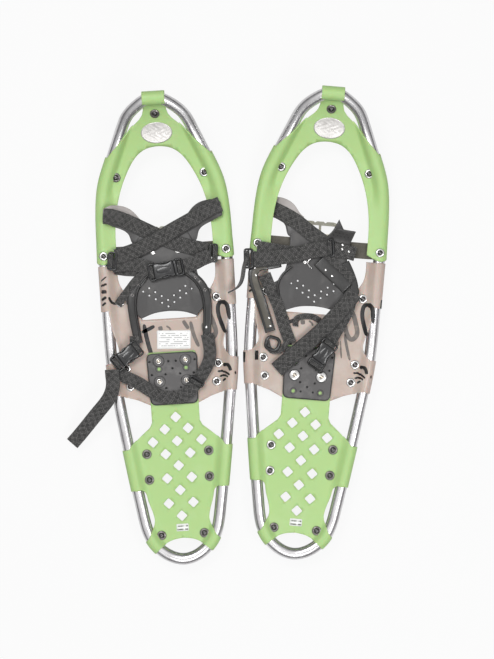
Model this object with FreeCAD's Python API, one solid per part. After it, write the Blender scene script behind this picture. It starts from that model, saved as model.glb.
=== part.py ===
"""A pair of snowshoes, 762 mm (30 in) long and 220 mm (9 in) wide, standing on their crampons.

Each shoe is modelled in its own frame: X across, Y towards the toe, Z up, with the origin at
the middle of the tube loop, on the ground. place() then turns and moves it into the pair.
All sizes are in millimetres. Heights in the routes below are above the deck's middle plane.
"""
import FreeCAD, Part
import math
import os

V = FreeCAD.Vector

# ---- driving dimensions -------------------------------------------------------------------
HALF_LENGTH = 371.5  # tube centreline, mid-length to toe or tail
TUBE_R = 9.5
TUBE_WALL = 1.2
TUBE_STATIONS = 26
DECK_Z = 31.0  # height of the tube centre and the deck's middle plane
TOE_START = 200.0  # the toe turns up forward of this
TOE_RADIUS = 240.0
SHEET = 1.3
SLEEVE_R = TUBE_R + 0.1  # inside of a deck wrap
LAYER = SHEET + 0.1  # one more sheet under or over another
SEAM = 20.0  # tube centre to where the two sides of a wrap meet
TAIL_DECK_LIFT = LAYER  # the tail deck lies over the mid deck
PIVOT_Y = 129.5
STRAP_T = 2.0
WEBBING = 25.0
HEEL_WEBBING = 21.0
SOLE_LOW = 1.7
SOLE_TOP = 5.2
TOE_OUT_DEG = 4.2
SHOE_X = 115.5  # shoe centre from the middle of the pair
SHOE_Y = 5.0  # half the step between the two shoes along Y
PAIR_SHIFT = 21.6  # puts the origin under the middle of the whole pair, loose tail included
PAIR_SHIFT_Y = -0.7
RIVET_SHANK_R = 2.4
HEAD_R = 7.7
SMALL_HEAD_R = 4.5
ARM_END = 114.0  # the toe deck's arms end here, over the mid deck's
BADGE_Y = 321.0
BADGE_HALF_X = 25.5
BADGE_HALF_Y = 15.8
WASHER_R = 7.6

# right half of the tube centreline, toe to tail
TUBE_POINTS = [(0, 371.5), (28, 361), (45, 347), (57, 326), (79, 277), (92, 243), (97.5, 210), (99.6, 170),
               (99.6, 80), (99.2, 0), (97.5, -50), (90, -112), (78, -197), (70.5, -247), (62.5, -297),
               (54, -331), (42, -350), (25, -364), (0, -371.5)]


# ---- helpers ------------------------------------------------------------------------------
def toe_lift(y):
    """Height of the deck's middle plane above its flat part."""
    run = max(0.0, y - TOE_START)
    return TOE_RADIUS - math.sqrt(TOE_RADIUS ** 2 - run ** 2)


def deck_point(x, y, up=0.0):
    """A point on the deck's middle plane, lifted along the deck's own normal."""
    return V(x, y, DECK_Z + toe_lift(y)) + deck_normal(y) * up


def deck_normal(y):
    lean = math.asin(max(0.0, y - TOE_START) / TOE_RADIUS)
    return V(0, -math.sin(lean), math.cos(lean))


def tube_curve():
    """The right half of the loop from toe to tail, running on a little past both so that it
    crosses the middle line square."""
    extra = 5
    before = [(-x, y) for x, y in reversed(TUBE_POINTS[1:1 + extra])]
    after = [(-x, y) for x, y in reversed(TUBE_POINTS[-1 - extra:-1])]
    curve = Part.BSplineCurve()
    curve.interpolate(Points=[deck_point(x, y) for x, y in before + TUBE_POINTS + after])
    return curve


TUBE = tube_curve()
TOE_END = TUBE.parameter(deck_point(*TUBE_POINTS[0]))
TAIL_END = TUBE.parameter(deck_point(*TUBE_POINTS[-1]))


def parameter_at(y):
    """The tube curve's parameter where its right half reaches y."""
    low, high = TOE_END, TAIL_END
    for _ in range(40):
        middle = (low + high) / 2
        if TUBE.value(middle).y > y:
            low = middle
        else:
            high = middle
    return (low + high) / 2


def tube_x(y):
    return TUBE.value(parameter_at(y)).x


def mirror(shape):
    return shape.mirror(V(0, 0, 0), V(1, 0, 0))


def both_sides(shape):
    """The shape and its mirror image, as one solid where they meet."""
    return shape.fuse(mirror(shape))


def edges_through(points, curved):
    """One edge through the points, straight runs or a smooth curve."""
    if not curved:
        return [Part.LineSegment(a, b).toShape() for a, b in zip(points, points[1:])]
    curve = Part.BSplineCurve()
    curve.interpolate(Points=points)
    return [curve.toShape()]


def outline_prism(stretches, low, high):
    """A vertical prism between two heights. Each stretch is (points, curved) and starts where
    the one before ends."""
    edges = []
    for points, curved in stretches:
        edges += edges_through([V(x, y, low) for x, y in points], curved)
    face = Part.Face(Part.Wire(edges))
    return face.extrude(V(0, 0, high - low))


def symmetric_prism(stretches, low, high):
    """outline_prism for the right half's stretches, which start and end on the middle line."""
    back = [([(-x, y) for x, y in reversed(points)], curved) for points, curved in reversed(stretches)]
    return outline_prism(stretches + back, low, high)


def deck_slab(up=0.0, thickness=SHEET):
    """The whole deck surface as a sheet that turns up at the toe."""
    half, width, tail, toe = thickness / 2, 130.0, -400.0, 385.0
    centre = V(-width, TOE_START, DECK_Z + TOE_RADIUS)
    edges = []
    ends = []
    for side in (up + half, up - half):
        radius = TOE_RADIUS - side
        lean = [math.asin((toe - TOE_START) / TOE_RADIUS) * f for f in (0, 0.5, 1)]
        arc = [centre + V(0, math.sin(a) * radius, -math.cos(a) * radius) for a in lean]
        start = V(-width, tail, DECK_Z + side)
        edges.append([Part.LineSegment(start, arc[0]).toShape(), Part.Arc(*arc).toShape()])
        ends.append((start, arc[2]))
    loop = edges[0] + [Part.LineSegment(ends[0][1], ends[1][1]).toShape()]
    loop += edges[1] + [Part.LineSegment(ends[1][0], ends[0][0]).toShape()]
    return Part.Face(Part.Wire(Part.__sortEdges__(loop))).extrude(V(2 * width, 0, 0))


def wrap_section(at, inner, seam, lift, hollow):
    """A wrap's section across the tube at a curve parameter: the round of the tube, drawn in
    to a point at the seam. hollow gives the space inside it."""
    centre = TUBE.value(at)
    along = V(*TUBE.tangent(at)[0])
    normal = deck_normal(centre.y)
    up = (normal - along * normal.dot(along)).normalize()
    inward = up.cross(along).normalize()
    if inward.dot(V(-centre.x, -centre.y if abs(centre.y) > 340 else 0, 0)) < 0:
        inward = inward * -1
    bend = seam ** 2 * inward.y ** 2 / (2 * TOE_RADIUS) if centre.y > TOE_START else 0.0
    radius = inner if hollow else inner + SHEET
    tip_half = 0.05 if hollow else SHEET
    tip = seam - 4.0 if hollow else seam
    lean = math.acos((radius - tip_half) / tip)

    def point(a, b):
        return centre + inward * a + up * b

    top = point(radius * math.cos(lean), radius * math.sin(lean))
    low = point(radius * math.cos(lean), -radius * math.sin(lean))
    tip_top = point(tip, lift + bend + tip_half)
    tip_low = point(tip, lift + bend - tip_half)
    edges = [Part.Arc(top, point(-radius, 0), low).toShape(), Part.LineSegment(low, tip_low).toShape(),
             Part.LineSegment(tip_low, tip_top).toShape(), Part.LineSegment(tip_top, top).toShape()]
    return Part.Wire(edges)


def wrap(stations, ruled=False):
    """(wrap, outside) for stations of (curve parameter, inner radius, seam, lift)."""
    outside = Part.makeLoft([wrap_section(*station, False) for station in stations], True, ruled)
    inside = Part.makeLoft([wrap_section(*station, True) for station in stations], True, ruled)
    return outside.cut(inside), outside


def side_wrap(y_high, y_low, high, low=None):
    """A wrap between two places along the tube, its (inner radius, seam, lift) changing from
    high to low over the first two thirds of the way."""
    count = max(3, int((y_high - y_low) / 25) + 1)
    stations = []
    for i in range(count):
        f = i / (count - 1)
        blend = min(1.0, 1.5 * f)
        shape = [a + (b - a) * blend for a, b in zip(high, low or high)]
        stations.append((parameter_at(y_high + (y_low - y_high) * f), *shape))
    return wrap(stations)


def tube_section(at, radius):
    """A circle across the tube at a curve parameter, its seam always on top."""
    centre = TUBE.value(at)
    along = V(*TUBE.tangent(at)[0])
    normal = deck_normal(centre.y)
    up = (normal - along * normal.dot(along)).normalize() * radius
    out = up.cross(along)
    return Part.Wire([Part.Arc(centre + up, centre + out, centre - up).toShape(),
                      Part.Arc(centre - up, centre - out, centre + up).toShape()])


def tube_solid(radius):
    """The tube loop filled out to a radius: a half that runs past the middle line, cut on it
    and mirrored."""
    step = (TAIL_END - TOE_END) / TUBE_STATIONS
    half = Part.makeLoft([tube_section(TOE_END + step * i, radius) for i in range(-1, TUBE_STATIONS + 2)], True)
    return both_sides(half.common(box(0, 200, -450, 450, -50, 250)))


def box(x0, x1, y0, y1, z0, z1):
    return Part.makeBox(x1 - x0, y1 - y0, z1 - z0, V(x0, y0, z0))


def strip(pairs, thickness):
    """A band between two edges, given as pairs of points with heights above the deck plane."""
    half = thickness / 2
    wires = []
    for a, b in pairs:
        low_a, low_b = V(a[0], a[1], DECK_Z + a[2] - half), V(b[0], b[1], DECK_Z + b[2] - half)
        rise = V(0, 0, thickness)
        wires.append(Part.makePolygon([low_a, low_b, low_b + rise, low_a + rise, low_a]))
    return Part.makeLoft(wires, True, True)


def ribbon(route, width, thickness=STRAP_T):
    """A flat strap along a route of (x, y, height)."""
    pairs = []
    for i, (x, y, z) in enumerate(route):
        before, after = route[max(0, i - 1)], route[min(len(route) - 1, i + 1)]
        way = V(after[0] - before[0], after[1] - before[1], 0).normalize()
        side = V(-way.y, way.x, 0) * (width / 2)
        pairs.append(((x + side.x, y + side.y, z), (x - side.x, y - side.y, z)))
    return strip(pairs, thickness)


def edge_ribbon(route, height, thickness=STRAP_T):
    """A strap standing on its edge along a route."""
    wires = []
    for i, (x, y, z) in enumerate(route):
        before, after = route[max(0, i - 1)], route[min(len(route) - 1, i + 1)]
        way = V(after[0] - before[0], after[1] - before[1], 0).normalize()
        side = V(-way.y, way.x, 0) * (thickness / 2)
        base = V(x, y, DECK_Z + z)
        rise = V(0, 0, height)
        wires.append(Part.makePolygon([base + side, base - side, base - side + rise, base + side + rise,
                                       base + side]))
    return Part.makeLoft(wires, True, True)


def mirrored(route):
    return [(-x, y, z) for x, y, z in route]


def aim(shape, at, direction):
    """Turn a shape built along +X to point along a direction, and move it to a point."""
    flat = math.degrees(math.atan2(direction.y, direction.x))
    climb = math.degrees(math.asin(direction.z / direction.Length))
    turn = FreeCAD.Rotation(V(0, 0, 1), flat).multiply(FreeCAD.Rotation(V(0, 1, 0), -climb))
    return shape.transformed(FreeCAD.Placement(at, turn).toMatrix(), True)


def on_deck(shape, x, y, up):
    """Stand a shape built along +Z on the deck surface at (x, y)."""
    turn = FreeCAD.Rotation(V(0, 0, 1), deck_normal(y))
    return shape.transformed(FreeCAD.Placement(deck_point(x, y, up), turn).toMatrix(), True)


def group(shapes):
    return Part.makeCompound(shapes)


# ---- frame and decks ----------------------------------------------------------------------
def frame_tube():
    return tube_solid(TUBE_R).cut(tube_solid(TUBE_R - TUBE_WALL))


TUBE_SPACE = tube_solid(SLEEVE_R)


def edge_along_tube(y_from, y_to):
    """Points on the tube's centreline, so that a deck's edge ends inside its wrap."""
    count = max(3, int(abs(y_to - y_from) / 20) + 1)
    return [(tube_x(y_from + (y_to - y_from) * i / (count - 1)), y_from + (y_to - y_from) * i / (count - 1))
            for i in range(count)]


def smooth_arch(half_points, low, high):
    """A prism under a curve that is smooth across the middle line."""
    left = [(-x, y) for x, y in reversed(half_points[1:])]
    points = left + half_points
    return outline_prism([(points, True), ([points[-1], points[0]], False)], low, high)


def rivet_holes(places):
    return group([on_deck(Part.makeCylinder(RIVET_SHANK_R + 0.1, 16, V(0, 0, -8)), x, y, 0) for x, y in places])


TOE_RIVETS = [(0, 346), (72, 255), (-72, 255)]
ARM_RIVETS = [(99.6, 128), (-99.6, 128)]
MID_RIVETS = [(79, 51.5), (-79, 51.5), (75, -56.5), (-75, -56.5), (70.5, -86), (-70.5, -86)]
TAIL_RIVETS = [(50.5, -197), (-50.5, -197), (49, -239), (-49, -239), (35, -330), (-35, -330)]
HEEL_RIVETS = [(22, -47.5), (-22, -47.5), (22, -81), (-22, -81)]
HOLE_ROWS = [(0, -140), (19, -159), (39.5, -179), (0, -179), (20, -199.5), (0, -219), (20, -239),
             (0, -259), (20, -280), (0, -301)]




def toe_deck():
    tab = 18.0
    outer = [(0, HALF_LENGTH), (tab, 366)]
    flare = [(tab, 366), (20, 352), (24, 343), (46, 325), (74, 299), (82, 288)]
    edge = [(82, 288)] + edge_along_tube(286, ARM_END)
    close = [edge[-1], (0, ARM_END)]
    sheet = symmetric_prism([(outer, False), (flare, False), (edge, False), (close, False)], 0, 200)
    sheet = sheet.common(deck_slab())
    snug = (SLEEVE_R, 15.5, 0.0)
    full, full_out = side_wrap(286, 248, snug)
    arm, arm_out = side_wrap(248, ARM_END, snug, (SLEEVE_R + LAYER, 23.0, 2.8))
    arm = arm.common(box(0, 130, 100, 260, DECK_Z - 1.0, 200))
    reach = parameter_at(362) - TOE_END
    nose, nose_out = wrap([(TOE_END + reach * i / 4, SLEEVE_R, 17, 0) for i in range(-4, 5)], ruled=True)
    tab_space = box(-tab, tab, 330, 400, 0, 200)
    for outside in (both_sides(full_out), both_sides(arm_out), nose_out.common(tab_space)):
        sheet = sheet.cut(outside)
    deck = sheet
    for piece in (both_sides(full), both_sides(arm), nose.common(tab_space)):
        deck = deck.fuse(piece)
    deck = deck.cut(TUBE_SPACE)
    opening = smooth_arch([(0, 303), (20, 299.5), (36, 288), (50, 268), (66, 233), (75, 197), (78.5, 160),
                           (78.5, 100)], -20, 200)
    return deck.cut(opening).cut(rivet_holes(TOE_RIVETS + ARM_RIVETS))


def mid_deck():
    arm = [(79.5, 112), (77, 80), (66, 60), (56, 38), (43, 21)]
    tongue = [(43, 21), (0, 21)]
    low = [(0, -119), (39, -119), (60, -109), (88, -100), (99, -99)]
    wrap_edge = edge_along_tube(-99, -47)
    upper = edge_along_tube(38, 112)
    cutout = [wrap_edge[-1], (89, -38), (85, -26), (88, -12), (93, 8), (96, 26), upper[0]]
    halves = [(list(reversed(tongue)), False), (list(reversed(arm)), True), ([arm[0], upper[-1]], False),
              (list(reversed(upper)), False), (list(reversed(cutout)), True), (list(reversed(wrap_edge)), False),
              ([wrap_edge[0], low[3]], False), (list(reversed(low[:4])), False)]
    sheet = symmetric_prism(halves, 0, 100).common(deck_slab())
    top, top_out = side_wrap(112, 38, (SLEEVE_R, SEAM, 0.0))
    bottom, bottom_out = side_wrap(-46, -101, (SLEEVE_R, SEAM, 0.0))
    deck = sheet.cut(both_sides(top_out)).cut(both_sides(bottom_out))
    deck = deck.fuse(both_sides(top)).fuse(both_sides(bottom)).cut(TUBE_SPACE)
    inner = outline_prism([([(-43, 21), (43, 21)], False), (arm[::-1], True),
                           ([(79.5, 112), (79.5, 130), (-79.5, 130), (-79.5, 112)], False),
                           ([(-x, y) for x, y in arm], True)], -20, 100)
    return deck.cut(inner).cut(rivet_holes(MID_RIVETS + HEEL_RIVETS))


def diamond_holes():
    reach, corner = 8.6, 1.6
    side = reach * math.sqrt(2)
    square = Part.makeBox(side, side, 40, V(-side / 2, -side / 2, 0))
    square = square.makeFillet(corner, [e for e in square.Edges if e.Length > 30])
    square = square.transformed(FreeCAD.Placement(V(0, 0, 15), FreeCAD.Rotation(V(0, 0, 1), 45)).toMatrix(), True)
    holes = []
    for x, y in HOLE_ROWS:
        for side_x in sorted({x, -x}):
            holes.append(square.translated(V(side_x, y, 0)))
    return holes


def tail_deck():
    neck = [(0, -33), (37, -33), (39, -36), (39, -147), (43, -155), (72.5, -180)]
    top = [(72.5, -180)] + edge_along_tube(-190, -257)
    waist = [top[-1], (60, -256), (55, -260), (50, -272), (46, -287), (45, -302), (49, -318), (56, -333)]
    lobe = [(56, -333), (58, -336)] + [(tube_x(y), y) for y in (-342, -352, -358)]
    arch = [lobe[-1], (30, -345), (16, -339), (0, -337)]
    stretches = [(neck, False), (top, False), (waist[:2], False), (waist[1:], True), (lobe, False)]
    stretches += [(arch[:2], False), (arch[1:], True)]
    sheet = symmetric_prism(stretches, 0, 100).common(deck_slab(TAIL_DECK_LIFT))
    loose = SLEEVE_R + 0.15
    side, side_out = side_wrap(-190, -255, (loose, SEAM - 1, TAIL_DECK_LIFT))
    tab, tab_out = wrap([(parameter_at(y), loose, 15, TAIL_DECK_LIFT) for y in (-336, -344, -351, -357)])
    deck = sheet.cut(both_sides(side_out)).cut(both_sides(tab_out)).cut(TUBE_SPACE)
    deck = deck.fuse(both_sides(side)).fuse(both_sides(tab))
    deck = deck.cut(group(diamond_holes()))
    return deck.cut(rivet_holes(TAIL_RIVETS + HEEL_RIVETS))


# ---- fasteners, labels, heel --------------------------------------------------------------
def rivet(head_r, head_h, grip, foot_r=6.0):
    """A domed head that stands on Z = 0, its shank, and a flat foot below."""
    ball = (head_r ** 2 + head_h ** 2) / (2 * head_h)
    dome = Part.makeSphere(ball, V(0, 0, head_h - ball)).common(Part.makeCylinder(head_r, head_h))
    shank = Part.makeCylinder(RIVET_SHANK_R, grip + 1.3, V(0, 0, -grip - 1.2))
    foot = Part.makeCylinder(foot_r, 1.2, V(0, 0, -grip - 1.2))
    return dome.fuse(shank).fuse(foot)


def ring(outer, inner, height):
    return Part.makeCylinder(outer, height).cut(Part.makeCylinder(inner, height + 2, V(0, 0, -1)))


WASHER_T = 0.9
DECK_HALF = SHEET / 2
SEAM_HALF = SHEET + 0.02


def deck_rivets():
    solids = []
    for x, y in TOE_RIVETS:
        solids.append(on_deck(rivet(HEAD_R, 4.2, 2 * SEAM_HALF + 1.2), x, y, SEAM_HALF + 0.6))
    arm_top = SLEEVE_R + LAYER + SHEET
    for x, y in ARM_RIVETS:
        top = arm_top + 0.05 + WASHER_T
        solids.append(on_deck(rivet(6.2, 3.4, 3.0, RIVET_SHANK_R + 0.01), x, y, top))
    for x, y in MID_RIVETS:
        solids.append(on_deck(rivet(SMALL_HEAD_R, 2.4, 2 * SEAM_HALF + WASHER_T + 0.8), x, y,
                              SEAM_HALF + 0.4 + WASHER_T))
    for x, y in TAIL_RIVETS:
        solids.append(on_deck(rivet(HEAD_R, 4.2, 2 * SEAM_HALF + 1.4), x, y, SEAM_HALF + 0.7 + TAIL_DECK_LIFT))
    return group(solids)


def rivet_washers():
    solids = []
    arm_top = SLEEVE_R + LAYER + SHEET
    for x, y in ARM_RIVETS:
        solids.append(on_deck(ring(WASHER_R, RIVET_SHANK_R + 0.1, WASHER_T), x, y, arm_top + 0.03))
    for x, y in MID_RIVETS:
        solids.append(on_deck(ring(WASHER_R, RIVET_SHANK_R + 0.1, WASHER_T), x, y, SEAM_HALF + 0.38))
    return group(solids)


PLATE_LOW = TAIL_DECK_LIFT + DECK_HALF + 0.05
PLATE_T = 2.4
PLATE_TOP = PLATE_LOW + PLATE_T


def heel_plate():
    half_top, half_low, y_top, y_low, corner = 41.5, 38.5, -35.0, -119.0, 9.0
    low = DECK_Z + PLATE_LOW
    points = [(-half_low, y_low), (half_low, y_low), (half_top, y_top), (-half_top, y_top), (-half_low, y_low)]
    plate = outline_prism([(points, False)], low, low + PLATE_T)
    upright = [e for e in plate.Edges if abs(e.BoundBox.ZLength - PLATE_T) < 0.01]
    plate = plate.makeFillet(corner, upright)
    rim = [e for e in plate.Edges if e.BoundBox.ZMin > low + PLATE_T - 0.01]
    plate = plate.makeFillet(0.9, rim)
    for x, y in HEEL_RIVETS:
        plate = plate.fuse(Part.makeCone(9.5, 8.5, 0.8, V(x, y, low + PLATE_T)))
    cuts = [Part.makeCylinder(RIVET_SHANK_R + 0.1, 10, V(x, y, low - 1)) for x, y in HEEL_RIVETS]
    for x, y in [(22, -60.5), (-22, -60.5), (22, -107), (-22, -107)]:
        cuts.append(Part.makeCylinder(3.0, 10, V(x, y, low - 1)))
    dimples = [(37, -48), (6, -48.5), (34, -69.5), (12, -69.5), (12, -92)]
    for x, y in [(a * s, b) for a, b in dimples for s in (1, -1)] + [(0, -60.5), (0, -99)]:
        cuts.append(Part.makeCylinder(1.6, 3, V(x, y, low + PLATE_T - 1.1)))
    return plate.cut(group(cuts))


def heel_rivets():
    grip = PLATE_TOP + 0.8 + DECK_HALF + 2.4
    return group([on_deck(rivet(5.2, 2.2, grip), x, y, PLATE_TOP + 0.85) for x, y in HEEL_RIVETS])


def toothed_flange(length, height, teeth, thickness):
    """A plate in the XZ plane, teeth down with flat tips 3 mm wide, from X = 0 to length."""
    pitch = length / teeth
    root, tip = height * 0.45, 1.5
    points = [(0, 0), (0, -root)]
    for i in range(teeth):
        middle = (i + 0.5) * pitch
        points += [(middle - tip, -height), (middle + tip, -height), ((i + 1) * pitch, -root)]
    points += [(length, 0), (0, 0)]
    wire = Part.makePolygon([V(x, 0, z) for x, z in points])
    return Part.Face(wire).extrude(V(0, thickness, 0))


def heel_crampon():
    """A channel across the heel: a top plate and two toothed flanges down to the ground."""
    top = DECK_Z - DECK_HALF - 0.05
    plate_t, half, y_top, y_low = 2.0, 33.0, -38.0, -96.0
    plate = box(-half, half, y_low, y_top, top - plate_t, top)
    height = top
    length = y_top - y_low
    solids = plate
    for x in (-half, half - plate_t):
        side = toothed_flange(length, height, 3, plate_t)
        side = side.transformed(FreeCAD.Placement(V(x + plate_t, y_low, top),
                                                  FreeCAD.Rotation(V(0, 0, 1), 90)).toMatrix(), True)
        solids = solids.fuse(side)
    bar = toothed_flange(2 * half, 22.0, 4, plate_t)
    bar = bar.translated(V(-half, y_low, top))
    solids = solids.fuse(bar)
    holes = [Part.makeCylinder(RIVET_SHANK_R + 0.1, 10, V(x, y, top - 5)) for x, y in HEEL_RIVETS]
    return solids.cut(group(holes))


def toe_badge():
    """An oval foil badge on the crown of the toe deck."""
    outline = Part.Wire(Part.Ellipse(V(0, BADGE_Y, 0), BADGE_HALF_X, BADGE_HALF_Y).toShape())
    prism = Part.Face(outline).extrude(V(0, 0, 200))
    return deck_slab(DECK_HALF + 0.5, 0.9).common(prism)


def label(x, y, width, depth, turn, up):
    plate = Part.makeBox(width, depth, 0.3, V(-width / 2, -depth / 2, 0))
    upright = [e for e in plate.Edges if e.BoundBox.ZLength > 0.2]
    plate = plate.makeFillet(1.5, upright)
    return plate.transformed(FreeCAD.Placement(V(x, y, DECK_Z + up), FreeCAD.Rotation(V(0, 0, 1), turn)).toMatrix(),
                             True)


def size_label():
    return label(0, -320, 20, 12, 0, TAIL_DECK_LIFT + DECK_HALF + 0.02)


def deck_label():
    return label(5, -14, 55, 30, -3, DECK_HALF + 0.02)


# ---- pivot strap and binding --------------------------------------------------------------
STRAP_HALF = 13.0
STRAP_SPLIT = 66.0


def pivot_strap_ends():
    """The parts of the pivot strap that go round the tube, one each side."""
    y0, y1 = PIVOT_Y - STRAP_HALF, PIVOT_Y + STRAP_HALF
    flat = box(STRAP_SPLIT, 97, y0, y1, DECK_Z - 1.5, DECK_Z + 1.1)
    loop = Part.makeCylinder(SLEEVE_R + 1.2, y1 - y0, V(tube_x(PIVOT_Y), y0, DECK_Z), V(0, 1, 0))
    end = flat.fuse(loop).cut(TUBE_SPACE)
    return group([end, mirror(end)])


def pivot_strap_centre():
    reach = STRAP_SPLIT - 0.4
    return box(-reach, reach, PIVOT_Y - STRAP_HALF, PIVOT_Y + STRAP_HALF, DECK_Z - 1.3, DECK_Z + 1.3)


HINGE_FRONT = (30.0, 178.0)
HINGE_REAR = (50.0, 144.0)
FLAP_T = 3.0
FLAP_AXIS_UP = 3.5
PERFORATIONS = [(0, 50.5), (0, 39.5), (9.5, 57), (-9.5, 57), (10, 46), (-10, 46), (19, 52.5), (-19, 52.5)]


def away_from_hinge(distance):
    """Offset of the flap's fold line, outboard for a positive distance."""
    run = V(HINGE_REAR[0] - HINGE_FRONT[0], HINGE_REAR[1] - HINGE_FRONT[1], 0).normalize()
    return V(-run.y, run.x, 0) * distance


def binding_sole():
    back = away_from_hinge(-2.2)
    front, rear = (HINGE_FRONT[0] + back.x, HINGE_FRONT[1] + back.y), (HINGE_REAR[0] + back.x, HINGE_REAR[1] + back.y)
    lead = [(0, 145), (12, 149), (22, 161), front]
    side = [rear, (47.5, 125), (50, 95), (58, 74), (72, 64)]
    back_edge = [(72, 64), (66, 46), (45, 23)]
    arch = [(45, 23), (24, 30.5), (0, 33)]
    sole = symmetric_prism([(lead, True), ([front, rear], False), (side, True), (back_edge, False), (arch, True)],
                           DECK_Z + SOLE_LOW, DECK_Z + SOLE_TOP)
    holes = [Part.makeCylinder(1.8, 20, V(x, y, DECK_Z - 5)) for x, y in PERFORATIONS]
    holes += [Part.makeCylinder(RIVET_SHANK_R + 0.1, 20, V(x, y, DECK_Z - 5)) for x, y in SOLE_RIVETS]
    return sole.cut(group(holes))


SOLE_RIVETS = [(20, PIVOT_Y), (-20, PIVOT_Y), (20, 104), (-20, 104)]


ARM_ROUTE = [(36, 91, 7.2), (50, 79, 8.2), (66, 60, 9), (68, 38, 8.6), (64, 8, 7.4), (60, -20, 7)]
RIGHT_OUTER_ARM = [(-60, 100, 7.6), (-82, 94, 12.5), (-101, 84, 15), (-95, 53, 15), (-80, 18, 9), (-67, -14, 7.4)]
RIGHT_INNER_ARM = [(44, 108, 8.2), (55, 88, 8.2), (63, 62, 8.8), (56, 30, 8.6), (43, 2, 7.6), (33, -16, 7.4)]


def heel_arms(right_shoe):
    if not right_shoe:
        return group([ribbon(ARM_ROUTE, 16, 3.0), ribbon(mirrored(ARM_ROUTE), 16, 3.0)])
    return group([ribbon(RIGHT_OUTER_ARM, 17, 3.0), ribbon(RIGHT_INNER_ARM, 15, 3.0)])


def front_crampon():
    """A channel under the sole with side teeth, and a claw with a scalloped edge in front."""
    top = DECK_Z - 1.7
    plate_t, half, y_low, y_high = 2.0, 29.0, 96.0, 152.0
    body = box(-half, half, y_low, y_high, top - plate_t, top)
    for x in (-half, half - plate_t):
        side = toothed_flange(y_high - y_low, top, 3, plate_t)
        side = side.transformed(FreeCAD.Placement(V(x + plate_t, y_low, top),
                                                  FreeCAD.Rotation(V(0, 0, 1), 90)).toMatrix(), True)
        body = body.fuse(side)
    claw_front, claw_low = 173.0, top - 12.0
    slope = V(0, claw_front - y_high, claw_low - top)
    rows = []
    for x in (-27, 0, 27):
        wide = 3.0 if x else 2.0
        base = [V(x - wide, y_high - 0.5, top), V(x + wide, y_high - 0.5, top)]
        wire = Part.makePolygon(base + [base[1] + slope * 0.72, base[0] + slope * 0.72, base[0]])
        rows.append(Part.Face(wire).extrude(V(0, 0, -plate_t)))
    edge = [V(-30, y_high, top) + slope * 0.66, V(30, y_high, top) + slope * 0.66]
    lip = [edge[1] + slope * 0.2]
    for x in (17, 0, -17):
        lip += [V(x + 5.5, 0, 0) + V(0, y_high, top) + slope * 0.98, V(x - 5.5, 0, 0) + V(0, y_high, top) + slope * 0.98]
        if x > -17:
            lip.append(V(x - 8.5, y_high, top) + slope * 0.86)
    lip.append(edge[0] + slope * 0.2)
    wire = Part.makePolygon(edge + lip + [edge[0]])
    rows.append(Part.Face(wire).extrude(V(0, 0, -plate_t)))
    for piece in rows:
        body = body.fuse(piece)
    holes = [Part.makeCylinder(RIVET_SHANK_R + 0.1, 12, V(x, y, top - 6)) for x, y in SOLE_RIVETS]
    return body.cut(group(holes))


def binding_rivets():
    grip = SOLE_TOP - SOLE_LOW + 5.6
    solids = [on_deck(rivet(4.6, 1.6, grip, 4.5), x, y, SOLE_TOP + 0.05) for x, y in SOLE_RIVETS]
    return group(solids)


def flap():
    """The right-hand toe flap, splayed out over the deck arm and the tube."""
    gap = away_from_hinge(0.7)
    root = ((HINGE_FRONT[0] + gap.x, HINGE_FRONT[1] + gap.y, FLAP_AXIS_UP),
            (HINGE_REAR[0] + gap.x, HINGE_REAR[1] + gap.y, FLAP_AXIS_UP))
    pairs = [root, ((45, 195, 4.8), (57, 160, 4.8)), ((60, 206, 8.5), (69, 170, 8.5)),
             ((73, 209, 13.2), (79, 174, 13.2)), ((83, 209, 17.7), (88, 178, 17.7)),
             ((95, 207, 17.7), (98, 181, 17.7))]
    return strip(pairs, FLAP_T)


def tucked_flap():
    """The right shoe's left flap, which lies under the deck arm."""
    gap = away_from_hinge(0.7)
    root = ((-HINGE_FRONT[0] - gap.x, HINGE_FRONT[1] + gap.y, FLAP_AXIS_UP),
            (-HINGE_REAR[0] - gap.x, HINGE_REAR[1] + gap.y, FLAP_AXIS_UP))
    pairs = [root, ((-45, 195, 1.5), (-57, 160, 1.5)), ((-60, 204, -2.5), (-69, 170, -2.5)),
             ((-73, 206, -7.5), (-77, 174, -7.5)), ((-84.5, 202, -10.5), (-85.5, 178, -10.5))]
    return strip(pairs, FLAP_T)


def raised_flap():
    """The right shoe's right flap, bent up off the sole."""
    gap = away_from_hinge(0.7)
    root = ((HINGE_FRONT[0] + gap.x - 12, HINGE_FRONT[1] + gap.y - 12, SOLE_TOP + 2.0),
            (HINGE_REAR[0] + gap.x, HINGE_REAR[1] + gap.y, SOLE_TOP + 2.0))
    pairs = [root, ((24, 167, 13), (53, 147, 13)), ((25, 166, 21), (56, 151, 21)), ((26, 165, 29), (57, 155, 29))]
    return strip(pairs, FLAP_T)


# ---- straps -------------------------------------------------------------------------------
UPPER_TOE_STRAP = [(96, 202, 21.8), (84, 197, 21.8), (72, 191.5, 17.3), (58, 184.5, 12), (38, 174.5, 10.4),
                   (18, 165, 10.2), (0, 155.5, 10.2), (-22, 144.5, 10.2), (-46, 135, 11.4), (-62, 130, 14.4),
                   (-72, 127.3, 16.5)]
LOWER_TOE_STRAP = [(-96, 193, 20.9), (-84, 191, 20.9), (-72, 187.5, 16.4), (-58, 181.5, 11.6), (-38, 171, 7.6),
                   (-18, 160, 6.9), (0, 150.5, 6.9), (22, 141, 6.9), (44, 134, 7.2), (60, 129.5, 11), (68.5, 127, 13.4)]
INSTEP_LEFT = [(-73, 112.1, 14), (-66, 113, 12.5), (-50, 112, 11.4), (-32, 106, 11.4)]
INSTEP_RIGHT = [(40.5, 106, 11.4), (50, 109, 14), (59, 113, 16.8), (65.5, 115.5, 18.2)]
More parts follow.
